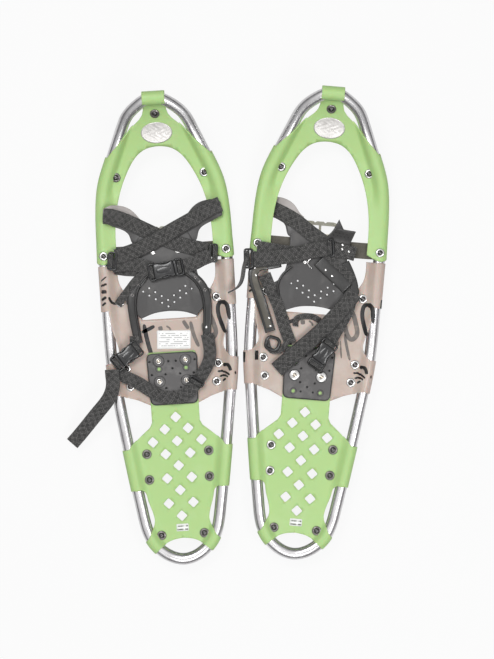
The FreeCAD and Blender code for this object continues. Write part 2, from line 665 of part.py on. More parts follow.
LEFT_HEEL_STRAP = [(-88, -63, 13.4), (-74, -71, 10.6), (-58, -80, 8.6), (-34, -97, 9), (-12, -107, 8.8), (8, -108, 8.8),
                   (24, -101, 8.8), (36, -88, 8.8), (52, -67, 8.8), (62, -45, 9.6), (62, -22, 11.4), (60, -8, 11.6)]
LEFT_TAIL = [(-98, -66, 19), (-96, -80, 18.4), (-104, -100, 17), (-120, -119, 12), (-140, -140, 3), (-158, -159, -5),
             (-172, -173, -10)]
HEEL_STUB = [(-58, -6, 11.2), (-58, -16, 12), (-55, -21, 13)]

RIGHT_LOWER_TOE = [(-82, 186, -6.2), (-72, 183.5, -3.6), (-58, 177, 2.8), (-38, 166.5, 7.6), (-18, 153, 8), (0, 142, 8),
                   (10, 136, 8)]
RIGHT_UPPER_TOE = [(-104, 100, 19), (-86, 102.5, 18.2), (-66, 107, 14), (-40, 113, 11.4), (-12, 122, 11.2), (12, 128, 11.2)]
RIGHT_UNDER = [(-98, 121, 18.6), (-84, 120.5, 17.4), (-70, 119.5, 10.8), (-50, 118.5, 7.2), (-30, 116.5, 7.2)]
RIGHT_SIDE = [(28, 126, 9.4), (44, 125.5, 9.4), (58, 123.5, 9.4)]
ON_EDGE_TAIL = [(-119, 86, 15), (-121, 68, 15), (-125, 53, 16), (-140, 41, 17)]
LONG_DIAGONAL = [(64, 60, 13), (52, 42, 12.6), (26, 7, 12.4), (4, -18, 12.2), (-20, -42, 10.6), (-52, -75, 9.2)]
RIGHT_INSTEP = [(-84, 78, 12.6), (-72, 54, 8.4), (-60, 33, 7.6), (-45, -4, 6.4), (-33, -30, 6.4)]
HEEL_LOOP = [(-27, -2, 3.2), (-26, 10, 3.2), (-15, 14, 3.2), (0, 15, 3.2), (12, 10, 3.2)]


def ladder_lock(depth, width, height=3.4):
    """A strap frame with two slots, its bars across Y."""
    frame = Part.makeBox(depth, width, height, V(-depth / 2, -width / 2, 0))
    upright = [e for e in frame.Edges if abs(e.BoundBox.ZLength - height) < 0.01]
    frame = frame.makeFillet(3.0, upright)
    slot = depth / 2 - 4.2
    for x in (-depth / 2 + 2.6, 1.6):
        frame = frame.cut(Part.makeBox(slot, width - 6.0, height + 2, V(x, -width / 2 + 3.0, -1)))
    return frame


BUCKLE_W, BUCKLE_H, SOCKET_L, CLIP_L = 27.0, 8.4, 37.0, 13.0
CAVITY_W, CAVITY_H, CAVITY_L = 21.0, 5.0, 26.0
BUCKLE_TRAVEL = 25.0


def buckle_socket():
    """Opens towards +X, mouth at X = 0, with a strap slot behind."""
    body = Part.makeBox(SOCKET_L, BUCKLE_W, BUCKLE_H, V(-SOCKET_L, -BUCKLE_W / 2, -BUCKLE_H / 2))
    body = body.makeFillet(2.0, [e for e in body.Edges if e.Length > SOCKET_L - 1])
    cavity = Part.makeBox(CAVITY_L, CAVITY_W, CAVITY_H, V(-CAVITY_L + 0.01, -CAVITY_W / 2, -CAVITY_H / 2))
    slot = Part.makeBox(4.0, CAVITY_W, BUCKLE_H + 2, V(-SOCKET_L + 3.0, -CAVITY_W / 2, -BUCKLE_H / 2 - 1))
    window = Part.makeBox(10.0, BUCKLE_W + 2, CAVITY_H, V(-20.0, -BUCKLE_W / 2 - 1, -CAVITY_H / 2))
    return body.cut(cavity).cut(slot).cut(window)


def buckle_clip():
    """Two springy prongs and a guide that slide into the socket, on a slotted base."""
    base = Part.makeBox(CLIP_L, BUCKLE_W, BUCKLE_H - 1.4, V(0.3, -BUCKLE_W / 2, -BUCKLE_H / 2 + 0.7))
    base = base.cut(Part.makeBox(4.0, CAVITY_W, BUCKLE_H, V(CLIP_L - 6.4, -CAVITY_W / 2, -BUCKLE_H / 2)))
    height = CAVITY_H - 0.8
    clip = base
    for y in (-CAVITY_W / 2 + 0.4, CAVITY_W / 2 - 4.4):
        clip = clip.fuse(Part.makeBox(CAVITY_L - 2.0, 4.0, height, V(-CAVITY_L + 2.4, y, -height / 2)))
    return clip.fuse(Part.makeBox(18.0, 4.0, height, V(-17.6, -2.0, -height / 2)))


LEFT_TOE_BUCKLE = (V(13.4, 102, DECK_Z + 13.2), V(66, 9, 0))
LEFT_HEEL_BUCKLE = (V(-82, -42.5, DECK_Z + 17.6), V(-56, -38, 8))
RIGHT_HEEL_BUCKLE = (V(14, -55, DECK_Z + 18.0), V(-27, -47, 0))


def d_loop():
    outer = Part.makeBox(24, 19, 3.4, V(-12, -9.5, 0)).cut(Part.makeBox(17, 12.5, 6, V(-8.5, -6.2, -1)))
    return outer.transformed(FreeCAD.Placement(V(-62, -33, DECK_Z + 5.4), FreeCAD.Rotation(V(0, 0, 1), -12)).toMatrix(),
                             True)


def cross_lock(x, y, up, turn, depth=17.0, width=31.0):
    return aim(ladder_lock(depth, width), V(x, y, DECK_Z + up),
               V(math.cos(math.radians(turn)), math.sin(math.radians(turn)), 0))


# ---- the pair -----------------------------------------------------------------------------
def place(shape, side):
    """Turn a shoe's piece toe-out and move it into the pair. side is -1 left, +1 right."""
    turn = FreeCAD.Rotation(V(0, 0, 1), -side * TOE_OUT_DEG)
    return shape.transformed(FreeCAD.Placement(V(side * SHOE_X + PAIR_SHIFT, side * SHOE_Y + PAIR_SHIFT_Y, 0),
                                               turn).toMatrix(), True)


def shared_pieces():
    """What the two shoes have in common."""
    return {
        "frame_tube": frame_tube(),
        "toe_deck": toe_deck(),
        "mid_deck": mid_deck(),
        "tail_deck": tail_deck(),
        "deck_rivets": deck_rivets(),
        "rivet_washers": rivet_washers(),
        "heel_plate": heel_plate(),
        "heel_rivets": heel_rivets(),
        "heel_crampon": heel_crampon(),
        "toe_badge": toe_badge(),
        "size_label": size_label(),
        "pivot_strap_ends": pivot_strap_ends(),
        "pivot_strap_centre": pivot_strap_centre(),
        "binding_sole": binding_sole(),
        "front_crampon": front_crampon(),
        "binding_rivets": binding_rivets(),
    }


def left_pieces():
    """The left shoe's own arrangement of flaps, straps and buckles."""
    right_flap = flap()
    return {
        "deck_label": deck_label(),
        "heel_arms": heel_arms(False),
        "outer_toe_flap": mirror(right_flap),
        "inner_toe_flap": right_flap,
        "upper_toe_strap": ribbon(UPPER_TOE_STRAP, WEBBING),
        "lower_toe_strap": ribbon(LOWER_TOE_STRAP, WEBBING),
        "instep_strap": group([ribbon(INSTEP_LEFT, 22), ribbon(INSTEP_RIGHT, 22)]),
        "outer_strap_lock": cross_lock(-85.5, 119, 15.4, -8, 16, 31),
        "inner_strap_lock": cross_lock(78.5, 122, 15.8, -6, 15, 31),
        "toe_buckle_socket": aim(buckle_socket(), *LEFT_TOE_BUCKLE),
        "toe_buckle_clip": aim(buckle_clip(), *LEFT_TOE_BUCKLE),
        "heel_strap": group([ribbon(LEFT_HEEL_STRAP, HEEL_WEBBING), ribbon(LEFT_TAIL, HEEL_WEBBING + 2),
                             ribbon(HEEL_STUB, HEEL_WEBBING - 5)]),
        "heel_strap_slide": cross_lock(38, -84, 10.4, 56, 13, 27),
        "heel_buckle_socket": aim(buckle_socket(), *LEFT_HEEL_BUCKLE),
        "heel_buckle_clip": aim(buckle_clip(), *LEFT_HEEL_BUCKLE),
    }


def right_pieces():
    """The right shoe's own arrangement of flaps, straps and buckles."""
    return {
        "heel_arms": heel_arms(True),
        "inner_toe_flap": tucked_flap(),
        "outer_toe_flap": raised_flap(),
        "upper_toe_strap": group([ribbon(RIGHT_UPPER_TOE, WEBBING), ribbon(RIGHT_SIDE, WEBBING)]),
        "lower_toe_strap": group([ribbon(RIGHT_LOWER_TOE, WEBBING), ribbon(RIGHT_UNDER, 17)]),
        "toe_strap_tail": edge_ribbon(ON_EDGE_TAIL, 20, 2.4),
        "strap_locks": group([cross_lock(-112, 101, 20.6, 6, 16, 33), cross_lock(20, 129.5, 12.8, 8, 11, 30)]),
        "instep_strap": group([ribbon(RIGHT_INSTEP, 20), ribbon(HEEL_LOOP, 9)]),
        "heel_d_loop": d_loop(),
        "heel_strap": ribbon(LONG_DIAGONAL, 26),
        "heel_buckle_socket": aim(buckle_socket(), *RIGHT_HEEL_BUCKLE),
        "heel_buckle_clip": aim(buckle_clip(), *RIGHT_HEEL_BUCKLE),
    }


def main():
    os.makedirs("parts", exist_ok=True)
    shared = shared_pieces()
    for name, side, own in (("left", -1, left_pieces()), ("right", 1, right_pieces())):
        for node, shape in {**shared, **own}.items():
            place(shape, side).exportStep("parts/" + name + "_" + node + ".step")


main()
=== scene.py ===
import logging
import math
from dataclasses import dataclass, field
from enum import Enum
from typing import Callable, Optional, Sequence

import bmesh
import bpy
import numpy as np
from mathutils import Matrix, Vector
from mathutils.geometry import delaunay_2d_cdt


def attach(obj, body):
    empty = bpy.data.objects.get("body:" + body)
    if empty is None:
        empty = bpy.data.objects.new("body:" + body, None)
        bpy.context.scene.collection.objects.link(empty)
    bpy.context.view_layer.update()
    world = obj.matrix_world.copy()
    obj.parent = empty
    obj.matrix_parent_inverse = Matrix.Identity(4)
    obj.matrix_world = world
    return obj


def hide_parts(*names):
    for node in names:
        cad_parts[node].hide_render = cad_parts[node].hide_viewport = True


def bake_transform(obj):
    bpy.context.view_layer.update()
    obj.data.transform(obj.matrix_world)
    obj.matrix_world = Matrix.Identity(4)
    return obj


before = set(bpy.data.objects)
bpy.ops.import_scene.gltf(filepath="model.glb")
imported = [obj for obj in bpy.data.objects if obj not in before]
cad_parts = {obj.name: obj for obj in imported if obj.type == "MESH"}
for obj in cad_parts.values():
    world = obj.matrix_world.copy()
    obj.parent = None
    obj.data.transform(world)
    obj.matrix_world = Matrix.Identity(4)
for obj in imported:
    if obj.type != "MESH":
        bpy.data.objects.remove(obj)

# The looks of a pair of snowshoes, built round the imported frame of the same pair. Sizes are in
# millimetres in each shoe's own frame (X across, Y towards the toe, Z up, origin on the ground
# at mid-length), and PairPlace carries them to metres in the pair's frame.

logging.basicConfig(level=logging.INFO, format="%(message)s")
LOG = logging.getLogger("snowshoes")

Array = np.ndarray
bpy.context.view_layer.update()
MM = 0.001

TUBE_R = 9.5
SLEEVE_R = 9.6
SHEET = 1.3
MID_SEAM = 20.0
LAYER = 1.4
DECK_Z = 31.0
TOE_START = 200.0
TOE_RADIUS = 240.0
PIVOT_Y = 129.5
SOLE_LOW = 1.7
SOLE_TOP = 5.2
ARM_END = 114.0
BADGE_Y = 320.5
WEBBING = 25.0
HEEL_WEBBING = 21.0
TUBE_POINTS = [(0, 371.5), (28, 361), (45, 347), (57, 326), (79, 277), (92, 243), (97.5, 210), (99.6, 170),
               (99.6, 80), (99.2, 0), (97.5, -50), (90, -112), (78, -197), (70.5, -247), (62.5, -297),
               (54, -331), (42, -350), (25, -364), (0, -371.5)]
TOE_RIVETS = [(0, 349), (72, 255), (-72, 255)]
ARM_RIVETS = [(99.6, 128), (-99.6, 128)]
MID_RIVETS = [(79, 51.5), (-79, 51.5), (75, -56.5), (-75, -56.5), (70.5, -86), (-70.5, -86)]
TAIL_RIVETS = [(50.5, -197.5), (-50.5, -197.5), (49, -239.5), (-49, -239.5), (35, -331), (-35, -331)]
HEEL_RIVETS = [(22, -47.5), (-22, -47.5), (22, -81), (-22, -81)]
HEEL_HOLES = [(22, -60.5), (-22, -60.5), (22, -107), (-22, -107)]
RIVET_HOLE_R = 2.5
SOLE_RIVETS = [(20, PIVOT_Y), (-20, PIVOT_Y), (20, 104), (-20, 104)]


# ---- numbers, curves and surfaces ---------------------------------------------------------
def spline(points: Sequence, count: int, closed: bool = False) -> Array:
    """Points on the cubic curve through the given points, even in chord length.

    The second derivatives solve the usual three-term equations, with none at free ends.

    Args:
        points: The points to pass through, one row each.
        count: How many points to give back.
        closed: Whether the curve runs on from its last point to its first.

    Returns:
        An array of count rows.
    """
    p = np.asarray(points, float)
    if closed:
        lap = 6
        p = np.concatenate([p[-lap:], p, p[:lap + 1]])
    gap = np.linalg.norm(np.diff(p, axis=0), axis=1)
    t = np.concatenate([[0], np.cumsum(gap)])
    n = len(p)
    matrix = np.eye(n)
    right = np.zeros_like(p)
    i = np.arange(1, n - 1)
    matrix[i, i - 1] = gap[:-1]
    matrix[i, i] = 2 * (gap[:-1] + gap[1:])
    matrix[i, i + 1] = gap[1:]
    slope = np.diff(p, axis=0) / gap[:, None]
    right[1:-1] = 6 * np.diff(slope, axis=0)
    bend = np.linalg.solve(matrix, right)
    if closed:
        at = np.linspace(t[lap], t[n - 1 - lap], count, endpoint=False)
    else:
        at = np.linspace(0, t[-1], count)
    k = np.clip(np.searchsorted(t, at, side="right") - 1, 0, n - 2)
    h = gap[k][:, None]
    a, b = (t[k + 1] - at)[:, None], (at - t[k])[:, None]
    return (bend[k] * a ** 3 + bend[k + 1] * b ** 3) / (6 * h) \
        + (p[k] / h - bend[k] * h / 6) * a + (p[k + 1] / h - bend[k + 1] * h / 6) * b


def unit(v: Array) -> Array:
    """Rows scaled to length one."""
    return v / np.maximum(np.linalg.norm(v, axis=-1, keepdims=True), 1e-9)


def toe_lift(y: Array) -> Array:
    """Height of the deck above its flat part: a circle of TOE_RADIUS forward of TOE_START."""
    run = np.clip(np.asarray(y, float) - TOE_START, 0, 230)
    return TOE_RADIUS - np.sqrt(TOE_RADIUS ** 2 - run ** 2)


def deck_normal(y: Array) -> Array:
    """Unit normals of the deck at y, leaning back where the toe turns up."""
    lean = np.arcsin(np.clip((np.asarray(y, float) - TOE_START) / TOE_RADIUS, 0, 0.95))
    return np.stack([np.zeros_like(lean), -np.sin(lean), np.cos(lean)], -1)


def deck_points(xy: Array, up: float = 0.0) -> Array:
    """Plan points set on the deck surface, lifted along its normal."""
    xy = np.asarray(xy, float).reshape(-1, 2)
    flat = np.column_stack([xy, DECK_Z + toe_lift(xy[:, 1])])
    return flat + deck_normal(xy[:, 1]) * up


@dataclass
class Surface:
    """A mesh in the making: points, faces as index rows, and a flat (u, v) place per point."""

    points: Array
    faces: list
    uv: Optional[Array] = None

    def moved(self, change: Callable[[Array], Array]) -> "Surface":
        """The same faces on changed points."""
        return Surface(change(self.points), self.faces, self.uv)


def joined(surfaces: Sequence[Surface]) -> Surface:
    """Several surfaces as one, with their faces renumbered.

    Args:
        surfaces: The surfaces, whose faces are rows of point numbers.

    Returns:
        The one surface; a piece without uv gets its plan place.
    """
    start = np.cumsum([0] + [len(s.points) for s in surfaces])
    faces = []
    for first, s in zip(start, surfaces):
        faces += [block + first for block in s.faces]
    uv = np.concatenate([s.uv if s.uv is not None else s.points[:, :2] for s in surfaces])
    return Surface(np.concatenate([s.points for s in surfaces]), faces, uv)


def grid_faces(rows: int, cols: int, loop_rows: bool = False, loop_cols: bool = False) -> Array:
    """Quads between neighbouring points of a rows by cols grid, closed where asked.

    Args:
        rows: Points down the grid.
        cols: Points across it.
        loop_rows: Whether the last row meets the first.
        loop_cols: Whether the last column meets the first.

    Returns:
        Rows of four point numbers.
    """
    r = np.arange(rows if loop_rows else rows - 1)[:, None]
    c = np.arange(cols if loop_cols else cols - 1)[None, :]
    r2, c2 = (r + 1) % rows, (c + 1) % cols
    quads = np.stack(np.broadcast_arrays(r * cols + c, r2 * cols + c, r2 * cols + c2, r * cols + c2), -1)
    return quads.reshape(-1, 4)


def skin(rings: Array, uv: Optional[Array] = None, ring_loop: bool = False) -> Surface:
    """A closed skin over rings of points.

    Args:
        rings: An array (rings, points, 3); each ring is a closed section.
        uv: A (rings, points, 2) array of flat places.
        ring_loop: Whether the last ring meets the first, as in a hoop. If not, each end is
            closed by a fan about its middle.

    Returns:
        The closed surface.
    """
    n, k, _ = rings.shape
    points = rings.reshape(-1, 3)
    flat = np.zeros((n * k, 2)) if uv is None else uv.reshape(-1, 2)
    faces = [grid_faces(n, k, ring_loop, True)]
    if not ring_loop:
        ends = np.stack([rings[0].mean(0), rings[-1].mean(0)])
        points = np.concatenate([points, ends])
        flat = np.concatenate([flat, np.stack([flat[:k].mean(0), flat[-k:].mean(0)])])
        here = np.arange(k)
        after = (here + 1) % k
        last = (n - 1) * k
        faces.append(np.stack([np.full(k, n * k), after, here], 1))
        faces.append(np.stack([np.full(k, n * k + 1), last + here, last + after], 1))
    return Surface(points, faces, flat)


def lathe(profile: Sequence, count: int = 28) -> Surface:
    """A profile of (radius, height) turned about Z, its ends closed on the axis.

    Args:
        profile: The (radius, height) points, in order from one end.
        count: Points round the axis.

    Returns:
        The closed surface.
    """
    p = np.asarray(profile, float)
    a = np.linspace(0, 2 * math.pi, count, endpoint=False)
    rings = np.stack([p[:, :1] * np.cos(a), p[:, :1] * np.sin(a), np.repeat(p[:, 1:], count, 1)], -1)
    return skin(rings, rings[:, :, :2] * MM)


def stood(surface: Surface, x: float, y: float, up: float) -> Surface:
    """A surface built along Z from nothing, stood on the deck at (x, y).

    Args:
        surface: A surface built along Z.
        x: Across the shoe.
        y: Along the shoe.
        up: Height over the deck, along its normal.

    Returns:
        The surface in the shoe's frame.
    """
    normal = deck_normal(np.array([y]))[0]
    side = np.array([1.0, 0, 0])
    basis = np.stack([side, np.cross(normal, side), normal])
    at = deck_points([(x, y)], up)[0]
    return surface.moved(lambda p: p @ basis + at)


SECTION_SIDES = 22  # points that rounded_section gives


def rounded_section(width: float, thickness: float) -> Array:
    """A flat strap's section, (across, up), round at both edges: a circle pulled out sideways."""
    r = thickness / 2
    a = np.linspace(-1.5, 1.5, 6)
    flat = np.linspace(-1, 1, 7)[1:-1] * (width / 2 - r)
    edge = np.stack([r * np.cos(a) + width / 2 - r, r * np.sin(a)], 1)
    top = np.stack([flat[::-1], np.full(5, r)], 1)
    return np.concatenate([edge, top, edge * [-1, -1], top * [-1, -1]])


def band(left: Sequence, right: Sequence, thickness: float, count: int = 60, camber: float = 0.0) -> Surface:
    """A strap or flap between two edge lines.

    Each ring is the rounded strap section stretched from a point on one edge to its fellow on
    the other, thick along the normal of the two edges' own direction.

    Args:
        left: Points (x, y, height over the deck plane) of one edge.
        right: As many points of the other edge.
        thickness: Of the strap.
        count: Rings along it.
        camber: How far its middle stands proud of its edges.

    Returns:
        The closed surface, with u along it and v across it in metres.
    """
    a, b = spline(left, count), spline(right, count)
    middle = (a + b) / 2
    way = unit(np.gradient(middle, axis=0))
    across = b - a
    width = np.linalg.norm(across, axis=1)
    side = unit(across)
    normal = unit(np.cross(side, way))
    normal *= np.sign(normal[:, 2:3].sum()) if abs(normal[:, 2].sum()) > 1e-6 else 1.0
    section = rounded_section(float(width.mean()), thickness)
    share = section[:, 0] / (width.mean() / 2)
    rings = middle[:, None] + side[:, None] * (share[None, :, None] * width[:, None, None] / 2)
    bulge = camber * (1 - share ** 2)
    rings = rings + normal[:, None] * (section[:, 1] + bulge)[None, :, None]
    rings[..., 2] += DECK_Z
    along = np.concatenate([[0], np.cumsum(np.linalg.norm(np.diff(middle, axis=0), axis=1))])
    uv = np.stack(np.broadcast_arrays(along[:, None] * MM, share[None, :] * width[:, None] / 2 * MM), -1)
    return skin(rings, uv)


def ribbon(route: Sequence, width: float, thickness: float = 2.0, camber: float = 0.25) -> Surface:
    """A flat strap along a route of (x, y, height over the deck plane), level across."""
    r = np.asarray(route, float)
    way = np.zeros_like(r)
    way[1:-1] = r[2:] - r[:-2]
    way[0], way[-1] = r[1] - r[0], r[-1] - r[-2]
    way[:, 2] = 0
    way = unit(way)
    side = np.stack([-way[:, 1], way[:, 0], way[:, 2]], 1) * width / 2
    length = np.linalg.norm(np.diff(r, axis=0), axis=1).sum()
    return band(r + side, r - side, thickness, max(14, int(length / 2.5)), camber)


def edge_ribbon(route: Sequence, rise: Sequence, thickness: float) -> Surface:
    """A strap on its edge along a route of its lower edge; rise goes to its upper edge."""
    r = np.asarray(route, float)
    return band(r, r + np.asarray(rise, float), thickness, 40)


def round_bar(path: Array, radius: float, closed: bool = False, flat: float = 1.0) -> Surface:
    """A bar of round section along a path, its section squashed upright by flat.

    Args:
        path: Points along the bar's middle.
        radius: Half its width.
        closed: Whether it is a hoop.
        flat: Its height over its width.

    Returns:
        The closed surface.
    """
    if closed:
        way = unit(np.roll(path, -1, 0) - np.roll(path, 1, 0))
    else:
        way = unit(np.gradient(path, axis=0))
    lean = np.where(np.abs(way[:, 2:3]) > 0.9, np.array([[1.0, 0, 0]]), np.array([[0, 0, 1.0]]))
    side = unit(np.cross(way, lean))
    up = np.cross(side, way)
    a = np.linspace(0, 2 * math.pi, 12, endpoint=False)
    rings = path[:, None] + radius * (side[:, None] * np.cos(a)[None, :, None]
                                      + up[:, None] * flat * np.sin(a)[None, :, None])
    return skin(rings, None, closed)


def rounded_loop(depth: float, width: float, corner: float) -> Array:
    """A flat rounded rectangle, depth along X and width along Y, as a closed line."""
    quarter = np.linspace(0, math.pi / 2, 7)
    x, y = depth / 2 - corner, width / 2 - corner
    turns = []
    for i, (cx, cy) in enumerate([(x, y), (-x, y), (-x, -y), (x, -y)]):
        a = quarter + i * math.pi / 2
        turns.append(np.stack([cx + corner * np.cos(a), cy + corner * np.sin(a), 0 * a], 1))
    return np.concatenate(turns)


def soft_block(xs: Sequence, halves: Sequence, heights: Sequence, power: float = 4.0,
               count: int = 36) -> Surface:
    """A moulded block along X: superellipse sections whose half width and half height follow
    smooth curves through the given values, drawn in at both ends."""
    n = 40
    shape = spline(np.column_stack([xs, halves, heights]), n)
    end = np.minimum(np.linspace(0, 1, n), np.linspace(1, 0, n)) * n
    close = np.sqrt(np.clip(end / 3, 0.0, 1.0)) * 0.12 + 0.88
    a = np.linspace(0, 2 * math.pi, count, endpoint=False)
    c, s = np.cos(a), np.sin(a)
    y = np.sign(c) * np.abs(c) ** (2 / power)
    z = np.sign(s) * np.abs(s) ** (2 / power)
    rings = np.stack(np.broadcast_arrays(shape[:, :1], y * shape[:, 1:2] * close[:, None],
                                         z * shape[:, 2:3] * close[:, None]), -1)
    return skin(rings, rings[:, :, :2] * MM)


def aimed(surface: Surface, at: Sequence, direction: Sequence) -> Surface:
    """A surface built along +X turned to point along a direction, and moved to a point.

    Args:
        surface: A surface built along +X.
        at: Where its zero goes.
        direction: Where its +X points.

    Returns:
        The turned and moved surface.
    """
    d = np.asarray(direction, float)
    x = d / np.linalg.norm(d)
    y = np.cross([0, 0, 1.0], x)
    y /= np.linalg.norm(y)
    basis = np.stack([x, y, np.cross(x, y)])
    return surface.moved(lambda p: p @ basis + np.asarray(at, float))


# ---- sheets cut flat and folded round the tube --------------------------------------------
def inside(points: Array, outline: Array) -> Array:
    """Whether each plan point lies inside a closed outline, by counting crossings.

    Args:
        points: Plan points.
        outline: A closed line of plan points.

    Returns:
        A truth value for each point.
    """
    a, b = outline, np.roll(outline, -1, 0)
    x, y = points[:, :1], points[:, 1:]
    spans = (a[:, 1] > y) != (b[:, 1] > y)
    slope = (b[:, 0] - a[:, 0]) / np.where(b[:, 1] == a[:, 1], 1e-9, b[:, 1] - a[:, 1])
    return (spans & (x < a[:, 0] + (y - a[:, 1]) * slope)).sum(1) % 2 == 1


def resampled(outline: Array, step: float) -> Array:
    """A closed line's corners kept, with points between them no further apart than step.

    Args:
        outline: A closed line of plan points.
        step: The widest gap allowed.

    Returns:
        The denser closed line.
    """
    runs = []
    for a, b in zip(outline, np.roll(outline, -1, 0)):
        count = max(1, int(math.ceil(np.linalg.norm(b - a) / step)))
        runs.append(a + (b - a) * np.linspace(0, 1, count, endpoint=False)[:, None])
    return np.concatenate(runs)


def circle(x: float, y: float, radius: float, count: int = 20) -> Array:
    """A round hole's outline."""
    a = np.linspace(0, 2 * math.pi, count, endpoint=False)
    return np.stack([x + radius * np.cos(a), y + radius * np.sin(a)], 1)


def cut_sheet(outline: Array, holes: Sequence[Array], fill: Array, step: float = 2.0) -> Surface:
    """A flat sheet of triangles inside an outline and outside its holes.

    Args:
        outline: The sheet's edge, a closed line of plan points.
        holes: Closed lines to leave open.
        fill: Plan points that the triangles should use within.
        step: Spacing of points along the edges.

    Returns:
        The surface at height zero, its uv the plan place in metres.
    """
    loops = [resampled(outline, step)] + list(holes)
    border = np.concatenate(loops)
    keep = inside(fill, loops[0])
    for hole in holes:
        keep &= ~inside(fill, hole)
    fill = fill[keep]
    near = np.full(len(fill), np.inf)
    for chunk in np.array_split(border, max(1, len(border) // 300)):
        gap = np.linalg.norm(fill[:, None] - chunk[None], axis=2).min(1)
        near = np.minimum(near, gap)
    fill = fill[near > 0.45 * step]
    edges, first = [], 0
    for loop in loops:
        here = np.arange(len(loop)) + first
        edges += np.stack([here, np.roll(here, -1)], 1).tolist()
        first += len(loop)
    plan = np.concatenate([border, fill])
    verts, _, faces, _, _, _ = delaunay_2d_cdt(plan.tolist(), edges, [], 0, 1e-5)
    points = np.array([v[:] for v in verts])
    tris = np.array([f for f in faces if len(f) == 3])
    middle = points[tris].mean(1)
    keep = inside(middle, loops[0])
    for hole in holes:
        keep &= ~inside(middle, hole)
    tris = tris[keep]
    used, index = np.unique(tris, return_inverse=True)
    points = points[used]
    return Surface(np.column_stack([points, np.zeros(len(points))]), [index.reshape(-1, 3)], points * MM)


class TubeLine:
    """The closed centreline of the frame tube, with the deck's own directions beside it."""

    def __init__(self) -> None:
        """Draw the smooth loop through the right half's points and their mirror images."""
        right = np.array(TUBE_POINTS, float)
        left = right[-2:0:-1] * [-1, 1]
        plan = np.concatenate([right, left])
        loop = np.column_stack([plan, DECK_Z + toe_lift(plan[:, 1])])
        self.points = spline(loop, 1400, closed=True)
        self.along = unit(np.roll(self.points, -1, 0) - np.roll(self.points, 1, 0))
        normal = deck_normal(self.points[:, 1])
        self.up = unit(normal - self.along * (normal * self.along).sum(1, keepdims=True))
        self.inward = np.cross(self.up, self.along)
        turn = np.sign((self.inward[:, :2] * -self.points[:, :2]).sum(1, keepdims=True))
        self.inward = self.inward * turn
        self.shrink = np.linalg.norm(self.inward[:, :2], axis=1)

    def nearest(self, xy: Array) -> tuple[Array, Array]:
        """The nearest station and the distance out from the centreline for plan points.

        Returns:
            (index of the station, distance along its outward direction in the deck plane).
        """
        index = np.concatenate([
            np.linalg.norm(chunk[:, None] - self.points[None, :, :2], axis=2).argmin(1)
            for chunk in np.array_split(xy, max(1, len(xy) // 400))])
        gap = xy - self.points[index, :2]
        flat_out = -self.inward[index, :2] / self.shrink[index, None]
        return index, (gap * flat_out).sum(1) / self.shrink[index]

    def straight_nose(self, xy: Array, index: Array, out: Array) -> tuple[Array, Array, Array, Array]:
        """Centres and directions for plan points, the nose taken as a straight bar.

        A tight tab over the nose creases along a straight line, not along the tube's curve.

        Args:
            xy: Plan points.
            index: Their nearest stations.
            out: Their distances out.

        Returns:
            (centres, inward directions, up directions, distances out).
        """
        centre, inward, up = self.points[index], self.inward[index], self.up[index]
        nose = (np.abs(xy[:, 0]) < 26) & (centre[:, 1] > 340) & (xy[:, 1] > 345)
        first = self.points[0] + [0, -0.8, -0.8]
        centre = np.where(nose[:, None], first + np.stack([xy[:, 0], 0 * out, 0 * out], 1), centre)
        inward = np.where(nose[:, None], self.inward[0], inward)
        up = np.where(nose[:, None], self.up[0], up)
        return centre, inward, up, np.where(nose, (xy[:, 1] - first[1]) / self.shrink[0], out)

    def beside(self, y_from: float, y_to: float, out: float, count: int = 12) -> Array:
        """Plan points a distance out from the tube's right side, between two places along it.

        Args:
            y_from: First place along the tube.
            y_to: Last place.
            out: Distance outwards.
            count: How many points.

        Returns:
            Plan points.
        """
        right = self.points[:, 0] > 0
        y = np.linspace(y_from, y_to, count)
        line, inward = self.points[right], self.inward[right]
        pick = np.abs(line[:, 1][None] - y[:, None]).argmin(1)
        return line[pick, :2] - inward[pick, :2] * out


TUBE = TubeLine()


